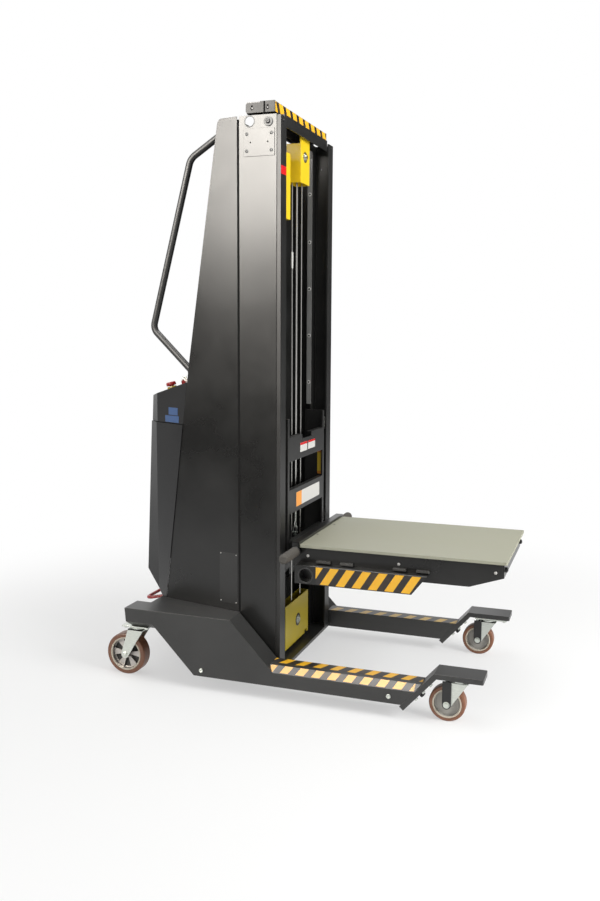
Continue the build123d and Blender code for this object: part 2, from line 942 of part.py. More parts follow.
def caster_hub(x, y, wheel, tread, trail, seat, spokes):
    """Wheel centre: rim, web and boss, with openings between the spokes if it has them."""
    rim = wheel * (1 - tyre_share)
    centre = Plane((mast_x + x - trail, y, wheel), x_dir=(1, 0, 0), z_dir=(0, -1, 0))
    half = tread / 2
    with BuildPart() as hub:
        with BuildSketch(centre.offset(-half)):
            Circle(rim)
            Circle(rim - hub_rim, mode=Mode.SUBTRACT)
            Circle(hub_boss)
        extrude(amount=tread)
        with BuildSketch(centre.offset(-hub_web / 2)):
            Circle(rim)
        extrude(amount=hub_web)
        with BuildSketch(centre.offset(-half)):
            Circle(axle_radius + fit_gap)
        extrude(amount=tread, mode=Mode.SUBTRACT)
        if spokes:
            with BuildSketch(centre.offset(-half)) as windows:
                Circle(rim - hub_rim - window_edge)
                Circle(hub_boss + window_edge, mode=Mode.SUBTRACT)
                with PolarLocations(rim / 2, spokes):
                    Rectangle(rim, spoke_width, mode=Mode.SUBTRACT)
                fillet(windows.vertices(), radius=spoke_round)
            extrude(amount=tread, mode=Mode.SUBTRACT)
    return hub.part


def caster_tyre(x, y, wheel, tread, trail, seat):
    """Ring tyre with rounded shoulders."""
    rim = wheel * (1 - tyre_share)
    centre = Plane((mast_x + x - trail, y, wheel), x_dir=(1, 0, 0), z_dir=(0, -1, 0))
    with BuildPart() as tyre:
        with BuildSketch(centre.offset(-tread / 2)):
            Circle(wheel)
        extrude(amount=tread)
        fillet(tyre.edges().filter_by(GeomType.CIRCLE), radius=tyre_round)
        with BuildSketch(centre.offset(-tread / 2 - over)):
            Circle(rim + fit_gap)
        extrude(amount=tread + 2 * over, mode=Mode.SUBTRACT)
    return tyre.part


with BuildPart() as caster_plates:
    for side in (-1, 1):
        for caster, length, shift in (
            (front_caster, front_plate_length, front_plate_shift),
            (rear_caster, rear_plate_length, 0),
        ):
            middle = caster["x"] + shift
            y = side * caster["y"]
            seat = caster["seat"]
            block(
                (middle - length / 2, middle + length / 2),
                (y - caster_plate_width / 2, y + caster_plate_width / 2),
                (seat - caster_plate_t, seat),
            )

# Hoist: pulleys, winch and rope
def pulley(x, y, z, radius):
    """Grooved wheel on an axle along x."""
    centre = Plane((mast_x + x, y, z), x_dir=(0, 1, 0), z_dir=(1, 0, 0))
    with BuildPart() as sheave:
        with BuildSketch(centre.offset(-pulley_t / 2)):
            Circle(radius + pulley_lip)
            Circle(pulley_bore + fit_gap, mode=Mode.SUBTRACT)
        extrude(amount=pulley_t)
        with BuildSketch(Plane((mast_x + x, y, z), x_dir=(1, 0, 0), z_dir=(0, -1, 0))):
            with Locations((0, radius)):
                Circle(rope_radius + seat_gap)
            with Locations((0, radius + pulley_lip / 2 + over / 2)):
                Rectangle(2 * (rope_radius + seat_gap), pulley_lip + over)
        axle = Axis((mast_x + x, y, z), (1, 0, 0))
        revolve(axis=axle, revolution_arc=360, mode=Mode.SUBTRACT)
    return sheave.part


lift_pulley = pulley(-rope_plane, lift_axis, pulley_height, pulley_radius)
transfer_pulley = pulley(-transfer_plane, lift_axis, pulley_height, pulley_radius)
bottom_pulley = pulley(-rope_plane, bottom_axis, bottom_pulley_height, bottom_pulley_radius)

with BuildPart() as winch_drum:
    drum_end = drum_start + drum_length
    axis_start = (drum_x, drum_start, drum_height)
    rod(axis_start, (drum_x, drum_end, drum_height), drum_radius - rope_radius - seat_gap)
    rod(axis_start, (drum_x, drum_start + drum_flange_t, drum_height), drum_flange_radius)
    rod(
        (drum_x, drum_end - drum_flange_t, drum_height),
        (drum_x, drum_end, drum_height),
        drum_flange_radius,
    )
    rod(
        (drum_x, drum_start - over, drum_height),
        (drum_x, drum_end + over, drum_height),
        axle_radius + fit_gap,
        mode=Mode.SUBTRACT,
    )

with BuildPart() as winch_motor:
    motor_end = drum_start - seat_gap - fork_gap
    gear_start = motor_end - gearbox_length
    rod(
        (drum_x, gear_start - motor_length, drum_height),
        (drum_x, gear_start, drum_height),
        motor_radius,
    )
    block(
        (drum_x - motor_radius, drum_x + motor_radius - over),
        (gear_start, motor_end),
        (drum_height - motor_radius, drum_height + motor_radius),
    )
    rod((drum_x, motor_end, drum_height), (drum_x, drum_end + fork_gap, drum_height), axle_radius)
    block(
        (-wall_back + back_sheet, drum_x + axle_boss),
        (drum_end + fork_gap, drum_end + fork_gap + pedestal_t),
        (drum_height - axle_boss, drum_height + axle_boss),
    )
    block(
        (-wall_back + back_sheet, drum_x - motor_radius + pedestal_t),
        (gear_start, motor_end),
        (drum_height - motor_radius, drum_height + motor_radius),
    )

with BuildPart() as hoist_rope:
    shift = Vector(mast_x, 0, 0)
    lead_x = -rope_plane
    far_y = 2 * pulley_radius
    near_y = bottom_axis - bottom_pulley_radius
    with BuildLine() as lead:
        ThreePointArc(
            shift + Vector(lead_x, 0, pulley_height),
            shift + Vector(lead_x, lift_axis, pulley_height + pulley_radius),
            shift + Vector(lead_x, far_y, pulley_height),
        )
        Line(
            shift + Vector(lead_x, far_y, pulley_height),
            shift + Vector(lead_x, far_y, bottom_pulley_height),
        )
        ThreePointArc(
            shift + Vector(lead_x, far_y, bottom_pulley_height),
            shift + Vector(lead_x, bottom_axis, bottom_pulley_height - bottom_pulley_radius),
            shift + Vector(lead_x, near_y, bottom_pulley_height),
        )
    with BuildSketch(Plane(lead.line @ 0, z_dir=lead.line % 0)):
        Circle(rope_radius)
    sweep(path=lead.line)
    back_x = -transfer_plane
    with BuildLine() as winding:
        ThreePointArc(
            shift + Vector(back_x, 0, pulley_height),
            shift + Vector(back_x, lift_axis, pulley_height + pulley_radius),
            shift + Vector(back_x, far_y, pulley_height),
        )
        Line(
            shift + Vector(back_x, far_y, pulley_height),
            shift + Vector(back_x, far_y, drum_height),
        )
    with BuildSketch(Plane(winding.line @ 0, z_dir=winding.line % 0)):
        Circle(rope_radius)
    sweep(path=winding.line)
    riser_low = Vector(lead_x, near_y, bottom_pulley_height)
    riser_high = Vector(back_x, 0, pulley_height)
    riser_end = (riser_high - riser_low).normalized() * seat_gap
    rod(tuple(riser_low + riser_end), tuple(riser_high - riser_end), rope_radius)

with BuildPart() as rope_fall:
    rod((-rope_plane, 0, ferrule_top), (-rope_plane, 0, pulley_height - seat_gap), rope_radius)

with BuildPart() as top_pulley_guard:
    guard_y = (lift_axis - top_guard_half, lift_axis + top_guard_half)
    guard_x = (-top_guard_front - top_guard_depth, -top_guard_front)
    guard_bottom = pulley_height - top_guard_drop
    box_top = pulley_height + top_guard_rise
    block(guard_x, guard_y, (guard_bottom, box_top))
    block(
        (guard_x[0] + guard_sheet, guard_x[1] - guard_sheet),
        (guard_y[0] + guard_sheet, guard_y[1] - guard_sheet),
        (guard_bottom - over, box_top - guard_sheet),
        mode=Mode.SUBTRACT,
    )
    block(
        (guard_x[1] - guard_sheet, guard_x[1]),
        guard_y,
        (box_top - over, head_top - head_wall - seat_gap),
    )
    rod(
        (guard_x[0], lift_axis, pulley_height),
        (guard_x[1], lift_axis, pulley_height),
        pulley_bore,
    )

with BuildPart() as bottom_pulley_guard:
    low_x = (-bottom_guard_front - bottom_guard_depth, -bottom_guard_front)
    low_y = (-bottom_guard_half, bottom_guard_half)
    block(low_x, low_y, (bottom_guard_bottom, bottom_guard_top))
    block(
        (low_x[0] + guard_sheet, low_x[1] - guard_sheet),
        (low_y[0] + guard_sheet, low_y[1] - guard_sheet),
        (bottom_guard_bottom - over, bottom_guard_top + over),
        mode=Mode.SUBTRACT,
    )
    for side in (-1, 1):
        foot = sorted((side * low_y[1], side * (low_y[1] - bottom_guard_front)))
        block(
            (low_x[0], low_x[0] + guard_sheet),
            foot,
            (base_top, bottom_guard_bottom + over),
        )
    block(
        (low_x[1] - guard_sheet - over, low_x[1] + over),
        (low_y[1] - bottom_guard_notch - bottom_guard_notch_width, low_y[1] - bottom_guard_notch),
        (bottom_guard_bottom - over, bottom_guard_bottom + bottom_guard_notch),
        mode=Mode.SUBTRACT,
    )
    rod(
        (low_x[0], bottom_axis, bottom_pulley_height),
        (low_x[1], bottom_axis, bottom_pulley_height),
        pulley_bore,
    )

with BuildPart() as switch_cover:
    cover_x = (-switch_cover_front - switch_cover_depth, -switch_cover_front)
    cover_y = (-switch_cover_near, -switch_cover_far)
    switch_cover_high = head_bottom - switch_cover_drop
    cover_z = (switch_cover_high - switch_cover_tall, switch_cover_high)
    block(cover_x, cover_y, cover_z)
    block(
        (cover_x[0] - over, cover_x[1] - guard_sheet),
        (cover_y[0] + guard_sheet, cover_y[1] - guard_sheet),
        (cover_z[0] + guard_sheet, cover_z[1] - guard_sheet),
        mode=Mode.SUBTRACT,
    )
    block(
        (-wall_back + back_sheet, cover_x[0]),
        cover_y,
        (cover_z[1] - guard_sheet, cover_z[1]),
    )
    block(
        (-wall_back + back_sheet, cover_x[0]),
        cover_y,
        (cover_z[0], cover_z[0] + guard_sheet),
    )

# Batteries on the tray
with BuildPart() as battery_pack:
    for index in range(battery_count):
        middle = -battery_back - index * battery_pitch
        block(
            (middle - battery_length / 2, middle + battery_length / 2),
            (-battery_half, battery_half),
            (leg_top, leg_top + battery_height),
        )
    fillet(battery_pack.edges().filter_by(Axis.Z), radius=battery_round)

# Carriage: two lipped uprights joined by folded cross members
with BuildPart() as carriage_frame:
    for side in (-1, 1):
        with BuildSketch(plan_plane(carriage_low)):
            with BuildLine():
                Polyline(
                    (carriage_front, side * upright_outer),
                    (-carriage_back, side * upright_outer),
                    (-carriage_back, side * (upright_outer - carriage_sheet)),
                    (carriage_front - carriage_sheet, side * (upright_outer - carriage_sheet)),
                    (carriage_front - carriage_sheet, side * (upright_outer - upright_lip)),
                    (carriage_front, side * (upright_outer - upright_lip)),
                    close=True,
                )
            make_face()
        extrude(amount=carriage_high - carriage_low)
    cross_edge = upright_outer - upright_lip
    for low, high in (upper_cross, lower_cross, foot_cross):
        block(
            (carriage_front - carriage_sheet, carriage_front),
            (-cross_edge, cross_edge),
            (low, high),
        )
        for edge in (low, high - carriage_sheet):
            block(
                (cross_back, carriage_front - carriage_sheet),
                (-upright_outer + carriage_sheet, upright_outer - carriage_sheet),
                (edge, edge + carriage_sheet),
            )
    block(
        (cross_back - over, carriage_front + over),
        (-notch_half, notch_half),
        (upper_cross[1] - notch_depth, upper_cross[1] + over),
        mode=Mode.SUBTRACT,
    )
    block(
        (-eye_bar_back, carriage_front - carriage_sheet),
        (-eye_bar_half, eye_bar_half),
        (eye_bar_low, eye_bar_high),
    )

with BuildPart() as roller_pins:
    for height in roller_heights:
        for side in (-1, 1):
            rod(
                (roller_x, side * (upright_outer + seat_gap / 2), height),
                (roller_x, side * (rail_outer - rail_wall - roller_inset), height),
                pin_radius,
            )


def roller_pair(height):
    """Two guide rollers at one height, one in each rail."""
    with BuildPart() as pair:
        for side in (-1, 1):
            inner = rail_outer - rail_wall - roller_inset - roller_width
            middle = Plane((mast_x + roller_x, side * (inner + roller_width / 2), height),
                           x_dir=(1, 0, 0), z_dir=(0, -1, 0))
            with BuildSketch(middle):
                Circle(roller_diameter / 2)
                Circle(pin_radius + fit_gap, mode=Mode.SUBTRACT)
            extrude(amount=roller_width / 2, both=True)
    return pair.part


with BuildPart() as load_arms:
    for side in (-1, 1):
        arm_y = (side * arm_place - arm_width / 2, side * arm_place + arm_width / 2)
        block((carriage_front, arm_front), arm_y, (arm_low, arm_top))
        block(
            (carriage_front + arm_wall, arm_front + over),
            (arm_y[0] + arm_wall, arm_y[1] - arm_wall),
            (arm_low + arm_wall, arm_top - arm_wall),
            mode=Mode.SUBTRACT,
        )

with BuildPart() as rope_eye:
    eye_middle = ferrule_top - ferrule_length - eye_radius - eye_wire
    rod(
        (-rope_plane, 0, eye_middle + eye_radius),
        (-rope_plane, 0, ferrule_top - seat_gap),
        ferrule_radius,
    )
    with Locations(Plane((mast_x - rope_plane, 0, eye_middle), z_dir=(1, 0, 0))):
        Torus(eye_radius, eye_wire)
    rod((-rope_plane, 0, eye_bar_high), (-rope_plane, 0, eye_middle - eye_radius), eye_bolt_radius)

# Platform: flat deck on a folded frame, with a bar across the rear
with BuildPart() as platform_frame:
    for side in (-1, 1):
        start_y = side * (frame_half - frame_sheet / 2) + frame_sheet / 2
        with BuildSketch(side_plane(start_y)):
            with BuildLine():
                Polyline(
                    (frame_back, bar_bottom),
                    (deck_back, bar_bottom),
                    (deck_back, frame_top),
                    (frame_front, frame_top),
                    (frame_front, frame_front_low),
                    (frame_rise_start, frame_low),
                    (frame_back, frame_low),
                    close=True,
                )
            make_face()
        extrude(amount=frame_sheet)
        rod(
            (grip_place, side * (frame_half - frame_sheet), grip_height),
            (grip_place, side * grip_pin_end, grip_height),
            grip_pin_radius,
        )
    block(
        (deck_back, frame_front),
        (-frame_half + frame_sheet, frame_half - frame_sheet),
        (frame_top - frame_sheet, frame_top),
    )
    block(
        (frame_front - frame_sheet, frame_front),
        (-frame_half + frame_sheet, frame_half - frame_sheet),
        (frame_front_low, frame_top),
    )

with BuildPart() as rear_bar:
    block((bar_back, bar_front), (-bar_half, bar_half), (bar_bottom, bar_top))
    block(
        (bar_back + bar_wall, bar_front - bar_wall),
        (-bar_half - over, bar_half + over),
        (bar_bottom + bar_wall, bar_top - bar_wall),
        mode=Mode.SUBTRACT,
    )

with BuildPart() as platform_top:
    block(
        (deck_back, front_reach),
        (-deck_half, deck_half),
        (deck_bottom, deck_top),
    )
    fillet(platform_top.edges().filter_by(Axis.Z), radius=deck_round)

with BuildPart() as side_guards:
    for side in (-1, 1):
        for near, far, low, high in (
            (guard_outer - guard_wall, guard_outer, guard_low, guard_high),
            (frame_half, guard_outer - guard_wall, guard_high - guard_wall, guard_high),
        ):
            drop = (guard_front_high - guard_front_low) / (guard_high - guard_low)
            front_low = guard_front_high - (guard_high - low) * drop
            span = far - near
            start_y = side * (near + span / 2) + span / 2
            with BuildSketch(side_plane(start_y)):
                with BuildLine():
                    Polyline(
                        (guard_back, low),
                        (guard_back, high),
                        (guard_front_high, high),
                        (front_low, low),
                        close=True,
                    )
                make_face()
            extrude(amount=span)
        lip = sorted((side * (guard_outer - guard_lip), side * guard_outer))
        block((guard_back, guard_front_low), lip, (guard_low, guard_low + guard_wall))
        whole = sorted((side * frame_half, side * guard_outer))
        block((guard_back, guard_back + guard_block), whole, (guard_low, guard_high))
        mouth = (socket_place, side * (guard_outer + over), socket_height)
        bottom = (socket_place, side * (guard_outer - socket_depth), socket_height)
        rod(mouth, bottom, socket_radius, mode=Mode.SUBTRACT)

with BuildPart() as guard_tabs:
    for side in (-1, 1):
        for span in tab_spans:
            reach = sorted((side * (frame_half + seat_gap), side * (frame_half + tab_reach)))
            block(span, reach, (tab_low, tab_high))
    fillet(guard_tabs.edges().filter_by(Axis.Z), radius=guard_wall)

with BuildPart() as grips:
    for side in (-1, 1):
        root = (grip_place, side * (bar_half + seat_gap), grip_height)
        rod(root, (grip_place, side * grip_end, grip_height), grip_radius)
        tip = grips.faces().sort_by(Axis.Y)[0 if side < 0 else -1]
        fillet(tip.edges(), radius=grip_radius / 2)
        rod(
            (grip_place, side * (deck_half - over), grip_height),
            (grip_place, side * (grip_pin_end + seat_gap), grip_height),
            grip_pin_radius + fit_gap,
            mode=Mode.SUBTRACT,
        )

with BuildPart() as platform_screws:
    for side in (-1, 1):
        for place in screw_places:
            rod(
                (place, side * frame_half, screw_height),
                (place, side * (frame_half + screw_head_t), screw_height),
                screw_radius,
            )
        rod(
            (frame_front, side * latch_half, latch_height),
            (frame_front + latch_length, side * latch_half, latch_height),
            latch_radius,
        )

# Controls
def console_plane(back, y, lift=0):
    """A plane on the console's top at a place behind the mast's front."""
    slope = radians(console_slope)
    height = console_knee_height - (back - rear_knee_back) * tan(slope)
    normal = Vector(-sin(slope), 0, cos(slope))
    origin = Vector(mast_x - back, y, height) + normal * lift
    return Plane(origin, x_dir=(cos(slope), 0, sin(slope)), z_dir=normal)


with BuildPart() as control_panel:
    with BuildSketch(console_plane(panel_plate_back, 0)):
        RectangleRounded(panel_plate_run, 2 * (tail_shoulder_half - panel_plate_inset), skin)
    extrude(amount=panel_plate_t)
    with BuildSketch(console_plane(*gauge_place, panel_plate_t)):
        RectangleRounded(*gauge_size, skin)
    extrude(amount=gauge_t)
    with BuildSketch(console_plane(*stop_place)):
        Circle(stop_collar_radius)
        Circle(stop_stem_radius + seat_gap, mode=Mode.SUBTRACT)
    extrude(amount=stop_collar_t)
    with BuildSketch(console_plane(*lever_place, panel_plate_t)):
        Circle(lever_ring_radius)
        Circle(lever_ball + 2 * seat_gap, mode=Mode.SUBTRACT)
    extrude(amount=lever_ring_t)
    with BuildSketch(console_plane(*key_place, panel_plate_t)):
        Circle(key_radius)
    extrude(amount=key_radius)

with BuildPart() as stop_button:
    stop_base = stop_collar_t + stop_travel + seat_gap
    with BuildSketch(console_plane(*stop_place, stop_travel + seat_gap)):
        Circle(stop_stem_radius)
    extrude(amount=stop_base - stop_travel - seat_gap)
    with BuildSketch(console_plane(*stop_place, stop_base)):
        Circle(stop_head_radius)
    extrude(amount=stop_head_t)
    press_way = Axis(console_plane(*stop_place).origin, console_plane(*stop_place).z_dir)
    fillet(stop_button.faces().sort_by(press_way)[-1].edges(), radius=stop_edge)

with BuildPart() as panel_key:
    key_base = panel_plate_t + key_radius + seat_gap
    with BuildSketch(console_plane(*key_place, key_base)):
        Rectangle(key_radius, key_blade_t)
    extrude(amount=key_length - key_bow)
    with BuildSketch(console_plane(*key_place, key_base + key_length - key_bow)):
        Rectangle(key_bow, key_blade_t)
    extrude(amount=key_bow)

with BuildPart() as control_lever:
    lever_base = panel_plate_t + lever_ball + seat_gap
    with BuildSketch(console_plane(*lever_place, lever_base)):
        Circle(lever_radius)
    extrude(amount=lever_length)
    for lift, radius in ((lever_base, lever_ball), (lever_base + lever_length, lever_knob_radius)):
        with Locations(console_plane(*lever_place, lift).origin):
            Sphere(radius)

# Foot brake under the tail
with BuildPart() as brake_pedal:
    for_pedal = [
        (-pedal_pivot[0], -pedal_half, pedal_pivot[1]),
        (-pedal_end[0], -pedal_half, pedal_end[1]),
        (-pedal_end[0], pedal_half, pedal_end[1]),
        (-pedal_pivot[0], pedal_half, pedal_pivot[1]),
    ]
    line = tube_path(for_pedal, (pedal_bend, pedal_bend))
    with BuildSketch(Plane(line @ 0, z_dir=line % 0)):
        Circle(pedal_tube)
    sweep(path=line)
    for side in (-1, 1):
        inner = side * (pedal_half - pivot_sleeve)
        rod(
            (-pedal_pivot[0], inner, pedal_pivot[1]),
            (-pedal_pivot[0], side * (pedal_half + pivot_sleeve), pedal_pivot[1]),
            pivot_sleeve,
        )
    rod(
        (-pedal_pivot[0], -pedal_half - 2 * pivot_sleeve, pedal_pivot[1]),
        (-pedal_pivot[0], pedal_half + 2 * pivot_sleeve, pedal_pivot[1]),
        pivot_radius + fit_gap,
        mode=Mode.SUBTRACT,
    )

# Fasteners
slant = Vector(sin(toe_lean), 0, -cos(toe_lean))
with BuildPart() as zinc_fasteners:
    for side in (-1, 1):
        for x, z in leg_bolts:
            rod((x, side * leg_outer, z), (x, side * (leg_outer + leg_bolt_t), z), leg_bolt_radius)
            with BuildSketch(side_plane(side * (leg_outer + leg_bolt_t))):
                with Locations((x, z)):
                    RegularPolygon(leg_bolt_radius * hex_share, 6)
            extrude(amount=side * hex_depth, mode=Mode.SUBTRACT)
        for share in toe_bolt_share:
            foot = Vector(leg_nose, 0, leg_bottom) + slant * toe_thick
            along = Vector(toe_bend - leg_nose, 0, toe_height - leg_bottom) * share
            for spread in (-toe_bolt_y, toe_bolt_y):
                start = foot + along + Vector(0, side * (leg_inner + leg_width / 2) + spread, 0)
                rod(tuple(start), tuple(start + slant * toe_bolt_t), toe_bolt_radius)
    for place in (
        (-top_guard_front, lift_axis, pulley_height),
        (-bottom_guard_front, bottom_axis, bottom_pulley_height),
    ):
        x, y, z = place
        rod(place, (x + washer_t, y, z), washer_radius)
        rod((x + washer_t, y, z), (x + washer_t + bolt_head_t, y, z), bolt_head_radius)

with BuildPart() as black_fasteners:
    for side in (-1, 1):
        knob_along = Vector(toe_bend - leg_nose, 0, toe_height - leg_bottom) * toe_knob_share
        knob_y = Vector(0, side * (leg_inner + leg_width / 2), 0)
        knob = Vector(leg_nose, 0, leg_bottom) + slant * toe_thick + knob_along + knob_y
        rod(tuple(knob), tuple(knob + slant * toe_knob_t), toe_knob_radius)
        face = skin_half + seat_gap / 2 + inspection_t
        for dx in (-inspection_screw_x / 2, inspection_screw_x / 2):
            for dz in (-inspection_screw_z / 2, inspection_screw_z / 2):
                x = -inspection_back + dx
                z = inspection_height + dz
                rod((x, side * face, z), (x, side * (face + button_t), z), button_radius)
        x, z = -hanger_bolt_back, hanger_bolt_height
        rod((x, side * skin_half, z), (x, side * (skin_half + hanger_ring_t), z), hanger_ring_radius)
        rod(
            (x, side * (skin_half + hanger_ring_t), z),
            (x, side * (skin_half + hanger_ring_t + button_t), z),
            bolt_head_radius,
        )

for name, part in {
    "right_leg": right_leg.part,
    "left_leg": mirrored(right_leg.part),
    "base_tray": base_tray.part,
    "mast_back_panel": mast_back_panel.part,
    "head_beam": head_beam.part,
    "mast_cap": mast_cap.part,
    "cap_ends": cap_ends.part,
    "back_cover": back_cover.part,
    "console_housing": console_housing.part,
    "battery_cover": battery_cover.part,
    "cover_plates": cover_plates.part,
    "caster_plates": caster_plates.part,
    "lift_pulley": lift_pulley,
    "transfer_pulley": transfer_pulley,
    "bottom_pulley": bottom_pulley,
    "winch_drum": winch_drum.part,
    "winch_motor": winch_motor.part,
    "hoist_rope": hoist_rope.part,
    "rope_fall": rope_fall.part,
    "top_pulley_guard": top_pulley_guard.part,
    "bottom_pulley_guard": bottom_pulley_guard.part,
    "switch_cover": switch_cover.part,
    "battery_pack": battery_pack.part,
    "carriage_frame": carriage_frame.part,
    "roller_pins": roller_pins.part,
    "lower_rollers": roller_pair(roller_heights[0]),
    "upper_rollers": roller_pair(roller_heights[1]),
    "load_arms": load_arms.part,
    "rope_eye": rope_eye.part,
    "platform_frame": platform_frame.part,
    "rear_bar": rear_bar.part,
    "platform_top": platform_top.part,
    "side_guards": side_guards.part,
    "guard_tabs": guard_tabs.part,
    "grips": grips.part,
    "platform_screws": platform_screws.part,
    "control_panel": control_panel.part,
    "stop_button": stop_button.part,
    "panel_key": panel_key.part,
    "control_lever": control_lever.part,
    "brake_pedal": brake_pedal.part,
    "zinc_fasteners": zinc_fasteners.part,
    "black_fasteners": black_fasteners.part,
}.items():
    keep(part, name)

for name, part in {
    "toes": right_toe.part,
    "mast_rails": right_rail.part,
    "column_panels": right_column_panel.part,
    "rear_panels": right_rear_panel.part,
    "push_handles": right_push_handle.part,
}.items():
    with BuildPart() as pair:
        add(part)
        mirror(part, about=Plane.XZ)
    keep(pair.part, name)

for end, caster, spokes in (("front", front_caster, 0), ("rear", rear_caster, spoke_count)):
    wheel_parts = {
        "fork": caster_fork(**caster, strap=end == "front"),
        "hub": caster_hub(**caster, spokes=spokes),
        "tyre": caster_tyre(**caster),
    }
    for kind, part in wheel_parts.items():
        keep(part, f"{end}_right_{kind}")
        keep(mirrored(part), f"{end}_left_{kind}")
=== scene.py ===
"""Server lift trolley: finishes, stripe tape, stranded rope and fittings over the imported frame.

Lengths of pieces are millimetres, counted from the front of the mast (x), the middle of
the trolley (y) and the floor (z). place() turns them into the scene's metres. Lamps,
flags and the lengths inside shaders are in metres.
"""

import math

import bmesh
import bpy
from mathutils import Matrix, Vector
from mathutils.geometry import convex_hull_2d


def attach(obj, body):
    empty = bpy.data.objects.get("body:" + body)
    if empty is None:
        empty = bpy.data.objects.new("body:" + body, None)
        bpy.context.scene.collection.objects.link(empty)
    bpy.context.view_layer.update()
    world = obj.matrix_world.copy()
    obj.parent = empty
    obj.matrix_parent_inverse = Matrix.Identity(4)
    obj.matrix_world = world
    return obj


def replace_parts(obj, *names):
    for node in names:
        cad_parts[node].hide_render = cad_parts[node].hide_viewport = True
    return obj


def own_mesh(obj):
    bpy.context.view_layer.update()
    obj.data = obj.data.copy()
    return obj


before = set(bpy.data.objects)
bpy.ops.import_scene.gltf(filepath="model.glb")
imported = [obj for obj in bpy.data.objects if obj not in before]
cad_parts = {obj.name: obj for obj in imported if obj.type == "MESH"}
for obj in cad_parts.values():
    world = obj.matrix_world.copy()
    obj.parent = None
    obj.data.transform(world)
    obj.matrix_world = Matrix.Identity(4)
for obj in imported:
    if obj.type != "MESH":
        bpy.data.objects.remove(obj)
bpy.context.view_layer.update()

MILLIMETRE = 0.001
MAST_FRONT = -79.5
SIDES = {"right": -1, "left": 1}
BOTH_WAYS = (-1, 1)
ALONG_X, ALONG_Y, ALONG_Z = Vector((1, 0, 0)), Vector((0, 1, 0)), Vector((0, 0, 1))


def place(x, y, z):
    """A point of the trolley, from millimetres to metres."""
    return Vector((x + MAST_FRONT, y, z)) * MILLIMETRE


# Shader helpers

FLOAT, VECTOR = "NodeSocketFloat", "NodeSocketVector"
GRAIN_DEPTH, BRUSH_DEPTH = 0.0004, 0.0003
CHIP_SCALE, CLOUD_SCALE = 60.0, 5.0
CLOUD_LOW, CLOUD_HIGH = 0.3, 0.7
EDGE_FLAT, EDGE_ROUND = 0.99, 0.80
BAND_BLUR = 0.008
WORN_SHARE = 0.6
TAPE_BLACK, TAPE_ROUGH = (0.022, 0.019, 0.018), 0.34


def put(tree, kind, sockets=None, **settings):
    """Add one shader node, set it up and wire or fill its sockets."""
    node = tree.nodes.new(kind)
    for key, value in settings.items():
        setattr(node, key, value)
    for key, value in (sockets or {}).items():
        if isinstance(value, bpy.types.NodeSocket):
            tree.links.new(value, node.inputs[key])
        else:
            node.inputs[key].default_value = value
    return node


def maths(tree, operation, *terms):
    """The result of one sum on values."""
    node = put(tree, "ShaderNodeMath", dict(enumerate(terms)), operation=operation)
    return node.outputs["Value"]


def between(tree, value, start, stop, low=0.0, high=1.0):
    """A value that runs from low to high as another runs from start to stop."""
    span = {"Value": value, "From Min": start, "From Max": stop, "To Min": low, "To Max": high}
    return put(tree, "ShaderNodeMapRange", span).outputs["Result"]


def noise(tree, where, scale, detail):
    """The value of a noise texture."""
    sockets = {"Vector": where, "Scale": scale, "Detail": detail}
    return put(tree, "ShaderNodeTexNoise", sockets).outputs["Fac"]


def bumped(tree, height, strength, distance, normal):
    """A normal with fine bumps laid over it."""
    sockets = {"Height": height, "Strength": strength, "Distance": distance, "Normal": normal}
    return put(tree, "ShaderNodeBump", sockets).outputs["Normal"]


def own_place(tree):
    """The point on the object, in metres."""
    return put(tree, "ShaderNodeTexCoord").outputs["Object"]


def new_group(name, inputs, outputs):
    """An empty shader node group with named sockets."""
    tree = bpy.data.node_groups.new(name, "ShaderNodeTree")
    for label, kind, value in inputs:
        socket = tree.interface.new_socket(label, in_out="INPUT", socket_type=kind)
        if value is not None:
            socket.default_value = value
    for label, kind in outputs:
        tree.interface.new_socket(label, in_out="OUTPUT", socket_type=kind)
    return tree, put(tree, "NodeGroupInput").outputs, put(tree, "NodeGroupOutput").inputs


def make_surface_grain():
    """Fine bumps and softened edges, with a mask of the worn edges and a slow cloud."""
    tree, given, result = new_group(
        "surface grain",
        [
            ("Grain Scale", FLOAT, 900.0),
            ("Grain Height", FLOAT, 0.1),
            ("Edge Radius", FLOAT, 0.001),
        ],
        [("Normal", VECTOR), ("Edge", FLOAT), ("Cloud", FLOAT), ("Speck", FLOAT)],
    )
    where = own_place(tree)
    soft = put(tree, "ShaderNodeBevel", {"Radius": given["Edge Radius"]}, samples=4)
    soft = soft.outputs["Normal"]
    speck = noise(tree, where, given["Grain Scale"], 3.0)
    flat = put(tree, "ShaderNodeNewGeometry").outputs["Normal"]
    agree = put(tree, "ShaderNodeVectorMath", {0: soft, 1: flat}, operation="DOT_PRODUCT")
    turned_away = between(tree, agree.outputs["Value"], EDGE_FLAT, EDGE_ROUND)
    chipped = between(tree, noise(tree, where, CHIP_SCALE, 6.0), 0.42, 0.66)
    given_out = {
        "Normal": bumped(tree, speck, given["Grain Height"], GRAIN_DEPTH, soft),
        "Edge": maths(tree, "MULTIPLY", turned_away, chipped),
        "Cloud": noise(tree, where, CLOUD_SCALE, 4.0),
        "Speck": speck,
    }
    for label, value in given_out.items():
        tree.links.new(value, result[label])
    return tree


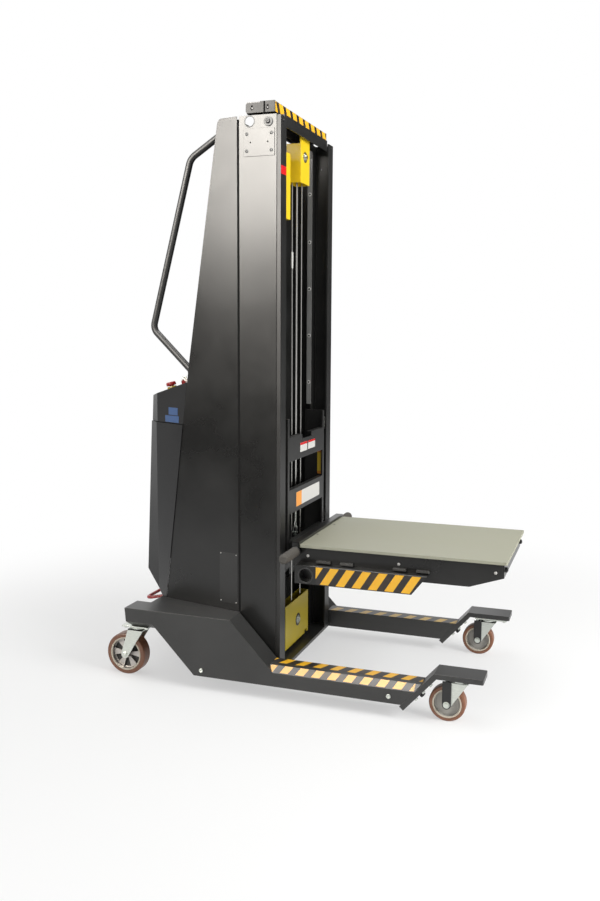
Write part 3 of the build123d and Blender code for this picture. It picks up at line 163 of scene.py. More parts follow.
def make_tape_stripes():
    """Slanted bands along a direction, as a mask with a slightly soft edge."""
    tree, given, result = new_group(
        "tape stripes",
        [
            ("Along", VECTOR, (1.0, 0.0, 0.0)),
            ("Pitch", FLOAT, 0.06),
            ("Start", FLOAT, 0.0),
            ("Share", FLOAT, 0.5),
        ],
        [("Band", FLOAT)],
    )
    sockets = {0: own_place(tree), 1: given["Along"]}
    along = put(tree, "ShaderNodeVectorMath", sockets, operation="DOT_PRODUCT").outputs["Value"]
    turns = maths(tree, "DIVIDE", maths(tree, "SUBTRACT", along, given["Start"]), given["Pitch"])
    past = maths(tree, "SUBTRACT", maths(tree, "FRACT", turns), given["Share"])
    tree.links.new(between(tree, past, BAND_BLUR, -BAND_BLUR), result["Band"])
    return tree


def make_brushing():
    """Fine lines drawn out along one direction, for rolled and brushed metal."""
    tree, given, result = new_group(
        "brushing",
        [("Stretch", VECTOR, (40.0, 40.0, 900.0)), ("Depth", FLOAT, 0.1), ("Normal", VECTOR, None)],
        [("Normal", VECTOR), ("Line", FLOAT)],
    )
    sockets = {0: own_place(tree), 1: given["Stretch"]}
    drawn = put(tree, "ShaderNodeVectorMath", sockets, operation="MULTIPLY").outputs["Vector"]
    line = noise(tree, drawn, 1.0, 4.0)
    bump = bumped(tree, line, given["Depth"], BRUSH_DEPTH, given["Normal"])
    tree.links.new(bump, result["Normal"])
    tree.links.new(line, result["Line"])
    return tree


GRAIN = make_surface_grain()
STRIPES = make_tape_stripes()
BRUSHING = make_brushing()


def blank(name):
    """A new material with only its shader and output."""
    material = bpy.data.materials.new(name)
    material.use_nodes = True
    tree = material.node_tree
    tree.nodes.clear()
    shader = put(tree, "ShaderNodeBsdfPrincipled")
    tree.links.new(shader.outputs["BSDF"], put(tree, "ShaderNodeOutputMaterial").inputs["Surface"])
    return material, tree, shader


def grained(tree, shader, scale, height, edge_radius):
    """Place the grain group and wire its normal to the shader."""
    sockets = {"Grain Scale": scale, "Grain Height": height, "Edge Radius": edge_radius}
    grain = put(tree, "ShaderNodeGroup", sockets, node_tree=GRAIN)
    tree.links.new(grain.outputs["Normal"], shader.inputs["Normal"])
    return grain.outputs


def shade(tree, base, other, mask, share=1.0):
    """Mix two colours by a mask, and give the mixed colour."""
    if share != 1.0:
        mask = maths(tree, "MULTIPLY", mask, share)
    mix = put(tree, "ShaderNodeMix", {"Factor": mask}, data_type="RGBA")
    for slot, colour in (("A", base), ("B", other)):
        socket = [s for s in mix.inputs if s.name == slot and s.type == "RGBA"][0]
        if isinstance(colour, bpy.types.NodeSocket):
            tree.links.new(colour, socket)
        else:
            socket.default_value = (*colour, 1.0)
    return [s for s in mix.outputs if s.type == "RGBA"][0]


def coated(
    name, colour, rough, cloudy, worn,
    scale=1400.0, height=0.12, edge=0.0012, metal=0.0, shine=0.5,
):
    """Paint, plastic or casting: clouded colour, worn edges and a fine grain."""
    material, tree, shader = blank(name)
    grain = grained(tree, shader, scale, height, edge)
    cloud = grain["Cloud"]
    pale = [min(1.0, c * (1 + cloudy) + 0.002) for c in colour]
    dark = [c * (1 - cloudy) for c in colour]
    mottled = shade(tree, dark, pale, between(tree, cloud, CLOUD_LOW, CLOUD_HIGH))
    tinted = shade(tree, mottled, worn, grain["Edge"], WORN_SHARE)
    tree.links.new(tinted, shader.inputs["Base Color"])
    least, most = rough * 0.88, min(1.0, rough * 1.12)
    rough_in = between(tree, cloud, CLOUD_LOW, CLOUD_HIGH, least, most)
    tree.links.new(rough_in, shader.inputs["Roughness"])
    shader.inputs["Metallic"].default_value = metal
    shader.inputs["Specular IOR Level"].default_value = shine
    return material


def taped(name, along, pitch, start, share, yellow):
    """Yellow and black tape: printed bands under a thin film, with scuffs."""
    material, tree, shader = blank(name)
    grain = grained(tree, shader, 700.0, 0.06, 0.0004)
    sockets = {"Along": along, "Pitch": pitch, "Start": start, "Share": share}
    band = put(tree, "ShaderNodeGroup", sockets, node_tree=STRIPES).outputs["Band"]
    printed = shade(tree, TAPE_BLACK, yellow, band)
    dulled = [c * 0.82 for c in yellow]
    aged = shade(tree, printed, dulled, between(tree, grain["Cloud"], 0.56, 0.72), 0.12)
    tree.links.new(aged, shader.inputs["Base Color"])
    least, most = TAPE_ROUGH * 0.9, TAPE_ROUGH * 1.15
    rough_in = between(tree, grain["Speck"], CLOUD_LOW, CLOUD_HIGH, least, most)
    tree.links.new(rough_in, shader.inputs["Roughness"])
    return material


def plated(name, colour, rough, stretch=(60.0, 60.0, 900.0), depth=0.10, edge=0.0008):
    """Metal with fine rolled lines."""
    material, tree, shader = blank(name)
    grain = grained(tree, shader, 500.0, 0.05, edge)
    sockets = {"Stretch": stretch, "Depth": depth, "Normal": grain["Normal"]}
    lines = put(tree, "ShaderNodeGroup", sockets, node_tree=BRUSHING).outputs
    tree.links.new(lines["Normal"], shader.inputs["Normal"])
    dark = [c * 0.78 for c in colour]
    tone = shade(tree, dark, colour, between(tree, lines["Line"], 0.3, 0.65))
    tree.links.new(tone, shader.inputs["Base Color"])
    rough_in = between(tree, grain["Cloud"], CLOUD_LOW, CLOUD_HIGH, rough * 0.8, rough * 1.25)
    tree.links.new(rough_in, shader.inputs["Roughness"])
    shader.inputs["Metallic"].default_value = 1.0
    return material


# Finishes: colour, roughness, clouding and the colour of worn edges

BLACK_COAT, BLACK_WORN = (0.010, 0.010, 0.0095), (0.10, 0.09, 0.08)
black_paint = coated("black powder coat", BLACK_COAT, 0.30, 0.15, BLACK_WORN, height=0.06)
# The legs, toes and base tray get a black coat written lighter than the black powder coat: painted
# sheen, standing in for the floor's reflection on them.
sheen_leg_paint = coated(
    "leg powder coat with painted sheen", (0.032, 0.032, 0.031), 0.36, 0.12, (0.16, 0.15, 0.13),
    height=0.10, edge=0.0022,
)
mast_black = coated("mast black", BLACK_COAT, 0.42, 0.2, BLACK_WORN)
cap_grey = coated(
    "cap end grey", (0.075, 0.072, 0.068), 0.56, 0.15, (0.22, 0.21, 0.20), edge=0.002
)
satin_steel = coated(
    "satin steel", (0.17, 0.17, 0.165), 0.40, 0.10, (0.34, 0.33, 0.31), height=0.06
)
tab_steel = coated(
    "oiled steel", (0.075, 0.073, 0.068), 0.38, 0.12, (0.25, 0.24, 0.22), height=0.08
)
# A darker, rougher copy of the guard yellow for the bottom pulley guard: painted shade, as that
# guard sits in shade.
painted_shade_yellow = coated("painted shade guard yellow", (0.52, 0.40, 0.018), 0.50, 0.08, (0.30, 0.24, 0.08))
cover_plastic = coated(
    "tail cover plastic", (0.0085, 0.0085, 0.009), 0.36, 0.15, (0.05, 0.05, 0.05),
    2600.0, 0.25, shine=0.28,
)
deck_mat = coated(
    "deck laminate", (0.335, 0.333, 0.250), 0.55, 0.03, (0.62, 0.60, 0.50), 2200.0, 0.10, 0.001
)
guard_yellow = coated("guard yellow", (0.80, 0.55, 0.014), 0.40, 0.05, (0.34, 0.25, 0.06))
zinc = plated("zinc plate", (0.66, 0.69, 0.64), 0.34)
chrome = plated("chrome", (0.78, 0.79, 0.80), 0.14, depth=0.03)
rope_steel = plated("rope steel", (0.66, 0.65, 0.62), 0.30, (300.0, 300.0, 300.0), 0.15, 0.0003)
bright_steel = plated("bright steel", (0.58, 0.58, 0.57), 0.28)
cast_aluminium = coated(
    "cast aluminium", (0.44, 0.42, 0.40), 0.50, 0.10, (0.6, 0.6, 0.58),
    1200.0, 0.3, 0.0008, metal=1.0,
)
# Near-black colour of the disc across the rear hubs' windows: painted shade.
hub_window_shade = coated(
    "painted shade casting", (0.030, 0.029, 0.027), 0.60, 0.15, (0.10, 0.10, 0.09), 1200.0, 0.3
)
handle_paint = coated("handle paint", BLACK_COAT, 0.44, 0.10, (0.08, 0.075, 0.07), height=0.03)
# Near-black and matt: painted shade in the column seam's gap and the cap end's groove.
seam_shade = coated(
    "painted seam shade", (0.006, 0.006, 0.006), 0.95, 0.1, (0.02, 0.02, 0.02), 1200.0, 0.3, shine=0.15
)
hub_grey = coated("hub grey", (0.40, 0.385, 0.355), 0.50, 0.08, (0.6, 0.58, 0.52), 1500.0, 0.15)
hub_cream = coated("hub cream", (0.56, 0.50, 0.40), 0.46, 0.05, (0.75, 0.72, 0.62), 1500.0)
brown_tread = coated(
    "brown tread", (0.215, 0.088, 0.045), 0.42, 0.12, (0.36, 0.20, 0.11), 1100.0, edge=0.002
)
grip_foam = coated(
    "grip rubber", (0.060, 0.054, 0.046), 0.85, 0.08, (0.16, 0.14, 0.12), 1600.0, 0.5, 0.002
)
roller_nylon = coated("roller nylon", (0.55, 0.54, 0.50), 0.45, 0.05, (0.7, 0.7, 0.68))
red_plastic = coated(
    "red plastic", (0.62, 0.010, 0.012), 0.28, 0.08, (0.75, 0.15, 0.12), 900.0, 0.05
)
black_plastic = coated(
    "black plastic", (0.010, 0.010, 0.011), 0.35, 0.15, (0.06, 0.06, 0.06), 1500.0, 0.15
)
battery_case = coated("battery case", (0.03, 0.03, 0.035), 0.5, 0.15, (0.1, 0.1, 0.1))
red_paint = coated("red paint", (0.50, 0.012, 0.014), 0.33, 0.1, (0.35, 0.30, 0.28))


def plate(name, colour, rough, cloudy, worn, height=0.04, edge=0.0002):
    """The smooth enamel of a blank plate."""
    return coated(name, colour, rough, cloudy, worn, 900.0, height, edge)


plate_white = plate("plate white", (0.60, 0.59, 0.56), 0.42, 0.03, (0.60, 0.58, 0.54))
plate_orange = plate("plate orange", (0.80, 0.30, 0.03), 0.42, 0.04, (0.60, 0.40, 0.20))
plate_yellow = plate("plate yellow", (0.80, 0.56, 0.05), 0.42, 0.04, (0.60, 0.50, 0.20))
plate_blue = plate("plate blue", (0.04, 0.12, 0.32), 0.40, 0.06, (0.30, 0.36, 0.45))
plate_grey = plate(
    "plate grey", (0.026, 0.026, 0.025), 0.34, 0.08, (0.20, 0.20, 0.19), 0.05, 0.0003
)

DRESS = {
    "right_leg left_leg toes base_tray": sheen_leg_paint,
    "mast_rails mast_back_panel head_beam carriage_frame load_arms winch_motor": mast_black,
    "column_panels rear_panels back_cover cover_plates mast_cap": black_paint,
    "platform_frame rear_bar side_guards": black_paint,
    "push_handles": handle_paint,
    "console_housing battery_cover": cover_plastic,
    "cap_ends": cap_grey,
    "battery_pack": battery_case,
    "top_pulley_guard switch_cover": guard_yellow,
    "bottom_pulley_guard": painted_shade_yellow,
    "hoist_rope rope_fall winch_drum roller_pins": bright_steel,
    "lift_pulley transfer_pulley bottom_pulley": bright_steel,
    "caster_plates zinc_fasteners rope_eye panel_key": zinc,
    "guard_tabs": tab_steel,
    "front_right_fork front_left_fork rear_right_fork rear_left_fork": zinc,
    "front_right_hub front_left_hub": hub_grey,
    "rear_right_hub rear_left_hub": cast_aluminium,
    "front_right_tyre front_left_tyre rear_right_tyre rear_left_tyre": brown_tread,
    "upper_rollers lower_rollers": roller_nylon,
    "control_panel control_lever black_fasteners platform_screws": black_plastic,
    "platform_top": deck_mat,
    "grips": grip_foam,
    "stop_button": red_plastic,
    "brake_pedal": red_paint,
}
for nodes, finish in DRESS.items():
    for node in nodes.split():
        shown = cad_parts[node]
        shown.data.materials.clear()
        shown.data.materials.append(finish)

# Mesh helpers

CRISP, ROPE_CRISP = 32.0, 70.0
HEXAGON = 6
HEAD_FACETS = 24
SUNK = -0.3
WASHER = 1.6
STRAND_VALLEY, ROPE_LAY = 0.80, 36.0
POINT_GAP = 3.0


def as_object(name, mesh, finish):
    """Turn a bmesh into an object of the scene, with one material."""
    data = bpy.data.meshes.new(name)
    mesh.to_mesh(data)
    mesh.free()
    data.materials.append(finish)
    made = bpy.data.objects.new(name, data)
    bpy.context.scene.collection.objects.link(made)
    return made


def shown_piece(name, mesh, finish, body, crisp=CRISP):
    """Turn a bmesh into a named piece that rides on a body, crisp over an angle in degrees."""
    bmesh.ops.recalc_face_normals(mesh, faces=mesh.faces)
    for face in mesh.faces:
        face.smooth = True
    for edge in mesh.edges:
        if len(edge.link_faces) == 2:
            edge.smooth = edge.calc_face_angle(0.0) < math.radians(crisp)
    piece = as_object(name, mesh, finish)
    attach(piece, body)
    return piece


def oblong(left, right, low, high):
    """The four corners of a rectangle, as (across, up)."""
    return ((left, low), (right, low), (right, high), (left, high))


def facing(axis, level, corners):
    """Points of a flat outline that looks along an axis, at a level on it."""
    index = "xyz".index(axis)
    return [place(*pair[:index], level, *pair[index:]) for pair in corners]


def sheet(mesh, corners, out):
    """A closed slab: a flat outline pushed out by a vector, in millimetres."""
    out = Vector(out) * MILLIMETRE
    low = [mesh.verts.new(corner) for corner in corners]
    high = [mesh.verts.new(corner + out) for corner in corners]
    mesh.faces.new(low)
    mesh.faces.new(high)
    for index in range(len(corners)):
        after = (index + 1) % len(corners)
        mesh.faces.new((low[index], low[after], high[after], high[index]))


def sheets(name, outlines, out, finish, body):
    """One piece from several flat outlines, each pushed out by the same vector."""
    mesh = bmesh.new()
    for outline in outlines:
        sheet(mesh, outline, out)
    return shown_piece(name, mesh, finish, body)


def neighbours(rings, closed):
    """Each ring with the next, and the last with the first where the shape closes."""
    return list(zip(rings, rings[1:])) + ([(rings[-1], rings[0])] if closed else [])


def turned(mesh, centre, axis, profile, steps=32, closed=False):
    """Turn (radius, along) points round an axis. A third number gives that ring flat sides."""
    axis = Vector(axis).normalized()
    side = axis.orthogonal().normalized()
    other = axis.cross(side)
    rings = []
    for radius, along, *flats in profile:
        middle = centre + axis * along * MILLIMETRE
        if radius == 0:
            rings.append([mesh.verts.new(middle)])
            continue
        ring = []
        for step in range(steps):
            angle = math.tau * step / steps
            reach = radius * MILLIMETRE
            if flats:
                sector = math.tau / flats[0]
                reach *= math.cos(sector / 2) / math.cos(angle % sector - sector / 2)
            out = side * math.cos(angle) + other * math.sin(angle)
            ring.append(mesh.verts.new(middle + out * reach))
        rings.append(ring)
    for low, high in neighbours(rings, closed):
        for step in range(steps):
            after = (step + 1) % steps
            ends = ((low, step), (low, after), (high, after), (high, step))
            corners = [ring[index % len(ring)] for ring, index in ends]
            mesh.faces.new(list(dict.fromkeys(corners)))


def swept(mesh, path, radius, sides, closed=False, strands=0):
    """A round bar along points in metres. With strands, a rope twisted once in each lay."""
    rings, travelled = [], 0.0
    across = (path[1] - path[0]).orthogonal().normalized()
    for index, point in enumerate(path):
        before = path[index - 1] if index or closed else point
        after = path[(index + 1) % len(path)] if closed or index + 1 < len(path) else point
        ahead = (after - before).normalized()
        across = (across - ahead * across.dot(ahead)).normalized()
        other = ahead.cross(across)
        if index:
            travelled += (point - path[index - 1]).length / MILLIMETRE
        ring = []
        for step in range(sides):
            angle = math.tau * step / sides
            reach = radius * MILLIMETRE
            if strands:
                crown = abs(math.cos(strands * angle / 2))
                reach *= STRAND_VALLEY + (1 - STRAND_VALLEY) * crown
                angle += math.tau * travelled / ROPE_LAY
            out = across * math.cos(angle) + other * math.sin(angle)
            ring.append(mesh.verts.new(point + out * reach))
        rings.append(ring)
    for low, high in neighbours(rings, closed):
        for step in range(sides):
            after = (step + 1) % sides
            mesh.faces.new((low[step], low[after], high[after], high[step]))
    if not closed:
        mesh.faces.new(rings[0])
        mesh.faces.new(rings[-1])


def straight(start, end):
    """Points in metres from start up to, but without, end."""
    count = max(1, round((end - start).length / MILLIMETRE / POINT_GAP))
    return [start.lerp(end, step / count) for step in range(count)]


def round_pulley(x, y, z, radius, start, stop):
    """Points round a pulley across the trolley, from one angle to another in degrees."""
    count = max(4, round(radius * math.radians(abs(stop - start)) / POINT_GAP))
    points = []
    for step in range(count):
        angle = math.radians(start + (stop - start) * step / count)
        points.append(place(x, y + radius * math.cos(angle), z + radius * math.sin(angle)))
    return points


def button_head(mesh, centre, axis, radius, height):
    """A domed screw head with a six-sided socket, its foot sunk a little into the sheet."""
    profile = [
        (0, SUNK),
        (radius, SUNK),
        (radius, 0.25 * height),
        (0.90 * radius, 0.62 * height),
        (0.68 * radius, 0.90 * height),
        (0.50 * radius, height),
        (0.38 * radius, height, HEXAGON),
        (0.36 * radius, 0.4 * height, HEXAGON),
        (0, 0.35 * height),
    ]
    turned(mesh, centre, axis, profile, HEAD_FACETS)


def hex_head(mesh, centre, axis, corner, height):
    """A six-sided bolt head or nut with a chamfered top, on a washer."""
    profile = [
        (0, SUNK),
        (1.28 * corner, SUNK),
        (1.30 * corner, 0.3 * WASHER),
        (1.26 * corner, WASHER),
        (corner, WASHER, HEXAGON),
        (corner, height - 0.12 * corner, HEXAGON),
        (0.86 * corner, height),
        (0.34 * corner, height),
        (0, height - 0.6),
    ]
    turned(mesh, centre, axis, profile, HEAD_FACETS)


# Stripe tape

TAPE = 0.3
# The bevel tape's yellow is paler than the top tape's: painted sheen of the light on the bevels.
YELLOW, SHEEN_YELLOW = (0.95, 0.50, 0.022), (0.96, 0.50, 0.11)
# A duller yellow for the left leg's top tape: painted shade, as that leg's top lies in low light.
SHADED_TOP_YELLOW = (0.50, 0.31, 0.045)

# Each pattern: the direction across its bands, their pitch and start, and yellow's share
TOP_BANDS = ((1.0, -0.46, 0.0), 0.064, 0.0576, 0.48)
BEVEL_BANDS = ((1.0, -0.5, 0.0), 0.0586, 0.0055, 0.53)
GUARD_BANDS = ((1.0, 0.0, -0.63), 0.059, 0.0122, 0.53)
CAP_BANDS = ((0.0, 1.0, 0.54), 0.068, 0.062, 0.6)

LEG_OUTER, LEG_INNER, LEG_TOP = 403.5, 307.5, 123.0
TAPE_INSET, TAPE_EDGE = 1.5, 352.5
BEVEL_WIDTH, BEVEL_DROP = 28.5, 19.5
BEVEL_EDGE = LEG_OUTER - BEVEL_WIDTH
BEVEL_GRADE = BEVEL_DROP / BEVEL_WIDTH
BEVEL_OUT, BEVEL_UP = 0.56 * TAPE, 0.83 * TAPE
GUARD_OUTER = 297.0
GUARD_TAPE = ((158, 473.2), (543, 473.2), (506, 411.0), (158, 411.0))
for side, sign in SIDES.items():
    # The left leg's top tape takes the duller yellow: painted shade.
    top_yellow = YELLOW if side == "right" else SHADED_TOP_YELLOW
    top_stripes = taped(f"{side} leg top tape", *TOP_BANDS, top_yellow)
    # The bevel tape takes the paler yellow: painted sheen.
    bevel_stripes = taped(f"{side} leg bevel tape", *BEVEL_BANDS, SHEEN_YELLOW)
    guard_stripes = taped(f"{side} guard tape", *GUARD_BANDS, YELLOW)
    inner, edge = sign * (LEG_INNER + TAPE_INSET), sign * TAPE_EDGE
    top = facing("z", LEG_TOP, oblong(12, 563, inner, edge))
    sheets(f"{side}_leg_top_tape", [top], (0, 0, TAPE), top_stripes, "chassis")
    high, low = BEVEL_EDGE + 0.8, LEG_OUTER - 2.6
    bevel = [
        place(x, sign * y, LEG_TOP - (y - BEVEL_EDGE) * BEVEL_GRADE)
        for x, y in ((22, high), (545, high), (545, low), (10, low))
    ]
    bevel_out = (0, sign * BEVEL_OUT, BEVEL_UP)
    sheets(f"{side}_leg_bevel_tape", [bevel], bevel_out, bevel_stripes, "chassis")
    guard = facing("y", sign * GUARD_OUTER, GUARD_TAPE)
    sheets(f"{side}_guard_tape", [guard], (0, sign * TAPE, 0), guard_stripes, "carriage")

cap_stripes = taped("cap tape", *CAP_BANDS, YELLOW)
cap_face = facing("x", -5, oblong(-280, 280, 2051.5, 2085.5))
sheets("cap_tape", [cap_face], (TAPE, 0, 0), cap_stripes, "chassis")
rail_mark = facing("x", 21, oblong(-294.2, -241.2, 1843, 1872))
sheets("rail_red_tape", [rail_mark], (TAPE, 0, 0), red_plastic, "chassis")

# Hoist rope: one stranded run over the pulleys, and a fall that changes length

ROPE_RADIUS, ROPE_STRANDS, ROPE_FACETS = 2.5, 6, 18
ROPE_X, BACK_X = -27.0, -45.0
PULLEY_Y, PULLEY_Z, PULLEY_R = 29.0, 1952.0, 29.0
LOW_Y, LOW_Z, LOW_R = 9.0, 169.0, 49.0
DRUM_X, DRUM_Y, DRUM_Z, DRUM_R = -87.0, 43.0, 400.0, 42.0
FERRULE_TOP, FALL_TOP = 604.0, 1951.7
CORE_LENGTH, CORE_SHARE = 600.0, 0.84


def rope(name, path, radius, body):
    """A stranded rope along a path."""
    mesh = bmesh.new()
    swept(mesh, path, radius, ROPE_FACETS, strands=ROPE_STRANDS)
    return shown_piece(name, mesh, rope_steel, body, ROPE_CRISP)


lead_y, near_y = PULLEY_Y + PULLEY_R, LOW_Y - LOW_R
riser_low, riser_high = place(ROPE_X, near_y, LOW_Z), place(BACK_X, 0, PULLEY_Z)
run = round_pulley(ROPE_X, PULLEY_Y, PULLEY_Z, PULLEY_R, 180, 0)
run += straight(place(ROPE_X, lead_y, PULLEY_Z), place(ROPE_X, lead_y, LOW_Z))
run += round_pulley(ROPE_X, LOW_Y, LOW_Z, LOW_R, 0, -180)
run += straight(riser_low, riser_high)
run += round_pulley(BACK_X, PULLEY_Y, PULLEY_Z, PULLEY_R, 180, 0)
run += straight(place(BACK_X, lead_y, PULLEY_Z), place(BACK_X, lead_y, DRUM_Z))
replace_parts(rope("hoist_rope_run", run, ROPE_RADIUS, "chassis"), "hoist_rope")

ferrule, fall_head = place(ROPE_X, 0, FERRULE_TOP), place(ROPE_X, 0, FALL_TOP)
fall = rope("rope_fall_strands", straight(ferrule, fall_head), ROPE_RADIUS, "chassis")
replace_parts(fall, "rope_fall")
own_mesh(fall)
core_way = place(ROPE_X, 0, FERRULE_TOP - 3), place(ROPE_X, 0, FERRULE_TOP + CORE_LENGTH)
core = rope("rope_fall_lower", straight(*core_way), ROPE_RADIUS * CORE_SHARE, "carriage")
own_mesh(core)

WINDING_TURNS, WINDING_PITCH, TURN_STEPS = 9, 5.4, 60
coil = []
for step in range(WINDING_TURNS * TURN_STEPS):
    angle = math.tau * step / TURN_STEPS
    along = DRUM_Y + WINDING_PITCH * step / TURN_STEPS
    coil.append(place(DRUM_X + DRUM_R * math.cos(angle), along, DRUM_Z + DRUM_R * math.sin(angle)))
mesh = bmesh.new()
swept(mesh, coil, ROPE_RADIUS, 12)
shown_piece("drum_winding", mesh, rope_steel, "drum", ROPE_CRISP)

SLEEVE_UP = 1373
SLEEVE = [(2.6, 0), (4.2, 0.8), (4.4, 3), (4.4, 58), (4.2, 60.2), (2.6, 61)]
riser_way = (riser_high - riser_low).normalized()
mesh = bmesh.new()
turned(mesh, riser_low + riser_way * SLEEVE_UP * MILLIMETRE, riser_way, SLEEVE, 24, True)
shown_piece("rope_sleeve", mesh, plate_white, "chassis")

EYE_Z, EYE_WIDE, EYE_TALL, EYE_STEPS = 559.5, 12.0, 13.0, 56
FERRULE = [
    (0, 0), (4.2, 0), (5, 1.5), (5, 10), (4.5, 11.5), (5, 13), (5, 22), (4.5, 23.5), (5, 25),
    (5, 34), (4.2, 35.6), (0, 35.6),
]
SHACKLE_Z, SHACKLE_HALF, BOW_Z, BOW_STEPS = 524.0, 7.0, 543, 12
WIRE, LOOP_WIRE, WIRE_FACETS, LOOP_SCALE = 2.4, 2.2, 12, 1.26
SHACKLE_PIN = [(0, 0), (4, 0), (4, 2), (2.6, 2), (2.6, 20), (4, 20), (4, 22), (0, 22)]
EYE_BOLT = [(0, 0), (8, 0, HEXAGON), (8, 5, HEXAGON), (4.5, 5.5), (4.5, 13), (3.4, 16), (0, 17)]


def teardrop(scale):
    """Points round the pear-shaped eye of the rope, with its neck at the top."""
    points = []
    for step in range(EYE_STEPS):
        angle = math.tau * step / EYE_STEPS
        wide = EYE_WIDE * scale * math.sin(angle) * math.sin(angle / 2) ** 1.3
        points.append(place(ROPE_X, wide, EYE_Z + EYE_TALL * scale * math.cos(angle)))
    return points


mesh = bmesh.new()
swept(mesh, teardrop(1.0), WIRE, WIRE_FACETS, closed=True)
turned(mesh, place(ROPE_X, 0, 568), ALONG_Z, FERRULE)
back, front = ROPE_X - SHACKLE_HALF, ROPE_X + SHACKLE_HALF
bow = straight(place(back, 0, SHACKLE_Z), place(back, 0, BOW_Z))
for step in range(BOW_STEPS + 1):
    angle = math.pi * (1 - step / BOW_STEPS)
    over, up = SHACKLE_HALF * math.cos(angle), SHACKLE_HALF * math.sin(angle)
    bow.append(place(ROPE_X + over, 0, BOW_Z + up))
bow += straight(place(front, 0, BOW_Z - 2), place(front, 0, SHACKLE_Z))
swept(mesh, bow, WIRE, WIRE_FACETS)
turned(mesh, place(ROPE_X - 11, 0, SHACKLE_Z), ALONG_X, SHACKLE_PIN)
turned(mesh, place(ROPE_X, 0, 511.7), ALONG_Z, EYE_BOLT, HEAD_FACETS)
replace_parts(shown_piece("rope_eye_fittings", mesh, zinc, "carriage"), "rope_eye")
mesh = bmesh.new()
swept(mesh, teardrop(LOOP_SCALE), LOOP_WIRE, WIRE_FACETS, closed=True)
shown_piece("rope_eye_loop", mesh, rope_steel, "carriage")

# Casters: forks with a domed race, eased cheeks, nuts and plate bolts

CASTERS = {
    "front": dict(
        x=691.0, y=345.0, wheel=62.5, tread=40.0, trail=40.0, seat=158.0, plate=(703.0, 126.0)
    ),
    "rear": dict(
        x=-537.0, y=334.0, wheel=80.0, tread=50.0, trail=48.0, seat=197.0, plate=(-537.0, 110.0)
    ),
}
PLATE_T, PLATE_HALF, BOLT_INSET = 5.0, 37.0, 11.0
FORK_WALL, FORK_GAP, AXLE_BOSS = 4.0, 3.0, 15.0
STRAP_T, STRAP_HALF = 5.0, 15.0
RACE_RADIUS, RACE_HEIGHT = 32.0, 9.0
RACE = [
    (0, 0), (22, 0), (22, -1.2), (31, -1.2), (33, -2.6), (33.6, -4.6), (33, -6.8), (30, -8.2),
    (30, -9.6), (0, -9.6),
]
BEARING_COVER = [
    (6.4, 0), (14.5, 0), (14.5, 1.1), (12.5, 1.8), (10.5, 1.2), (8.0, 1.2), (7.2, 1.8), (6.4, 1.6)
]
REAR_SPOKES, SPOKE_FOOT, SPOKE_END = 6, 17, 57.5
SPOKE_FACE, SPOKE_OUT = 4.3, 6.5


def arc(x, z, radius, start, stop, count):
    """Points (x, z) on an arc between two angles in degrees."""
    angles = [math.radians(start + (stop - start) * step / count) for step in range(count + 1)]
    return [(x + radius * math.cos(angle), z + radius * math.sin(angle)) for angle in angles]


def caster_fork(end, side, sign):
    """Race, crown, cheeks and axle of one caster in zinc, with black straps on a front one."""
    size = CASTERS[end]
    x, y, wheel = size["x"], sign * size["y"], size["wheel"]
    axle = x - size["trail"]
    body = f"{end}_{side}_swivel"
    race_top = size["seat"] - PLATE_T - 0.3
    crown_top = race_top - RACE_HEIGHT
    inner = size["tread"] / 2 + FORK_GAP
    half = inner + FORK_WALL
    strapped = end == "front"
    outer = half + (STRAP_T if strapped else 0)
    mesh = bmesh.new()
    turned(mesh, place(x, y, race_top), ALONG_Z, RACE, 48)
    crown = oblong(x - RACE_RADIUS, x + RACE_RADIUS, y - half, y + half)
    sheet(mesh, facing("z", crown_top, crown), (0, 0, -FORK_WALL))
    points = arc(axle, wheel, AXLE_BOSS, 0, 352.5, 47)
    points += [(x - RACE_RADIUS, crown_top), (x + RACE_RADIUS, crown_top)]
    cheek = [points[index] for index in convex_hull_2d([Vector(point) for point in points])]
    for way in BOTH_WAYS:
        sheet(mesh, facing("y", y + way * inner, cheek), (0, way * FORK_WALL, 0))
        hex_head(mesh, place(axle, y + way * outer, wheel), (0, way, 0), 9.0, 6.0)
    pin = [(0, 0), (6, 0), (6, 2 * outer), (0, 2 * outer)]
    turned(mesh, place(axle, y - outer, wheel), ALONG_Y, pin, HEAD_FACETS)
    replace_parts(shown_piece(f"{end}_{side}_fork_sheet", mesh, zinc, body), f"{end}_{side}_fork")
    if strapped:
        mesh = bmesh.new()
        strap = arc(axle, wheel, STRAP_HALF, 180, 360, 18)
        strap += [(axle + STRAP_HALF, crown_top), (axle - STRAP_HALF, crown_top)]
        for way in BOTH_WAYS:
            sheet(mesh, facing("y", y + way * half, strap), (0, way * STRAP_T, 0))
        shown_piece(f"{end}_{side}_fork_straps", mesh, black_plastic, body)


def plate_bolts(mesh, end, sign):
    """Four bolt heads under a caster plate."""
    size = CASTERS[end]
    middle, length = size["plate"]
    under = size["seat"] - PLATE_T
    for dx in BOTH_WAYS:
        for dy in BOTH_WAYS:
            x = middle + dx * (length / 2 - BOLT_INSET)
            y = sign * size["y"] + dy * (PLATE_HALF - BOLT_INSET)
            hex_head(mesh, place(x, y, under), (0, 0, -1), 6.2, 6.0)


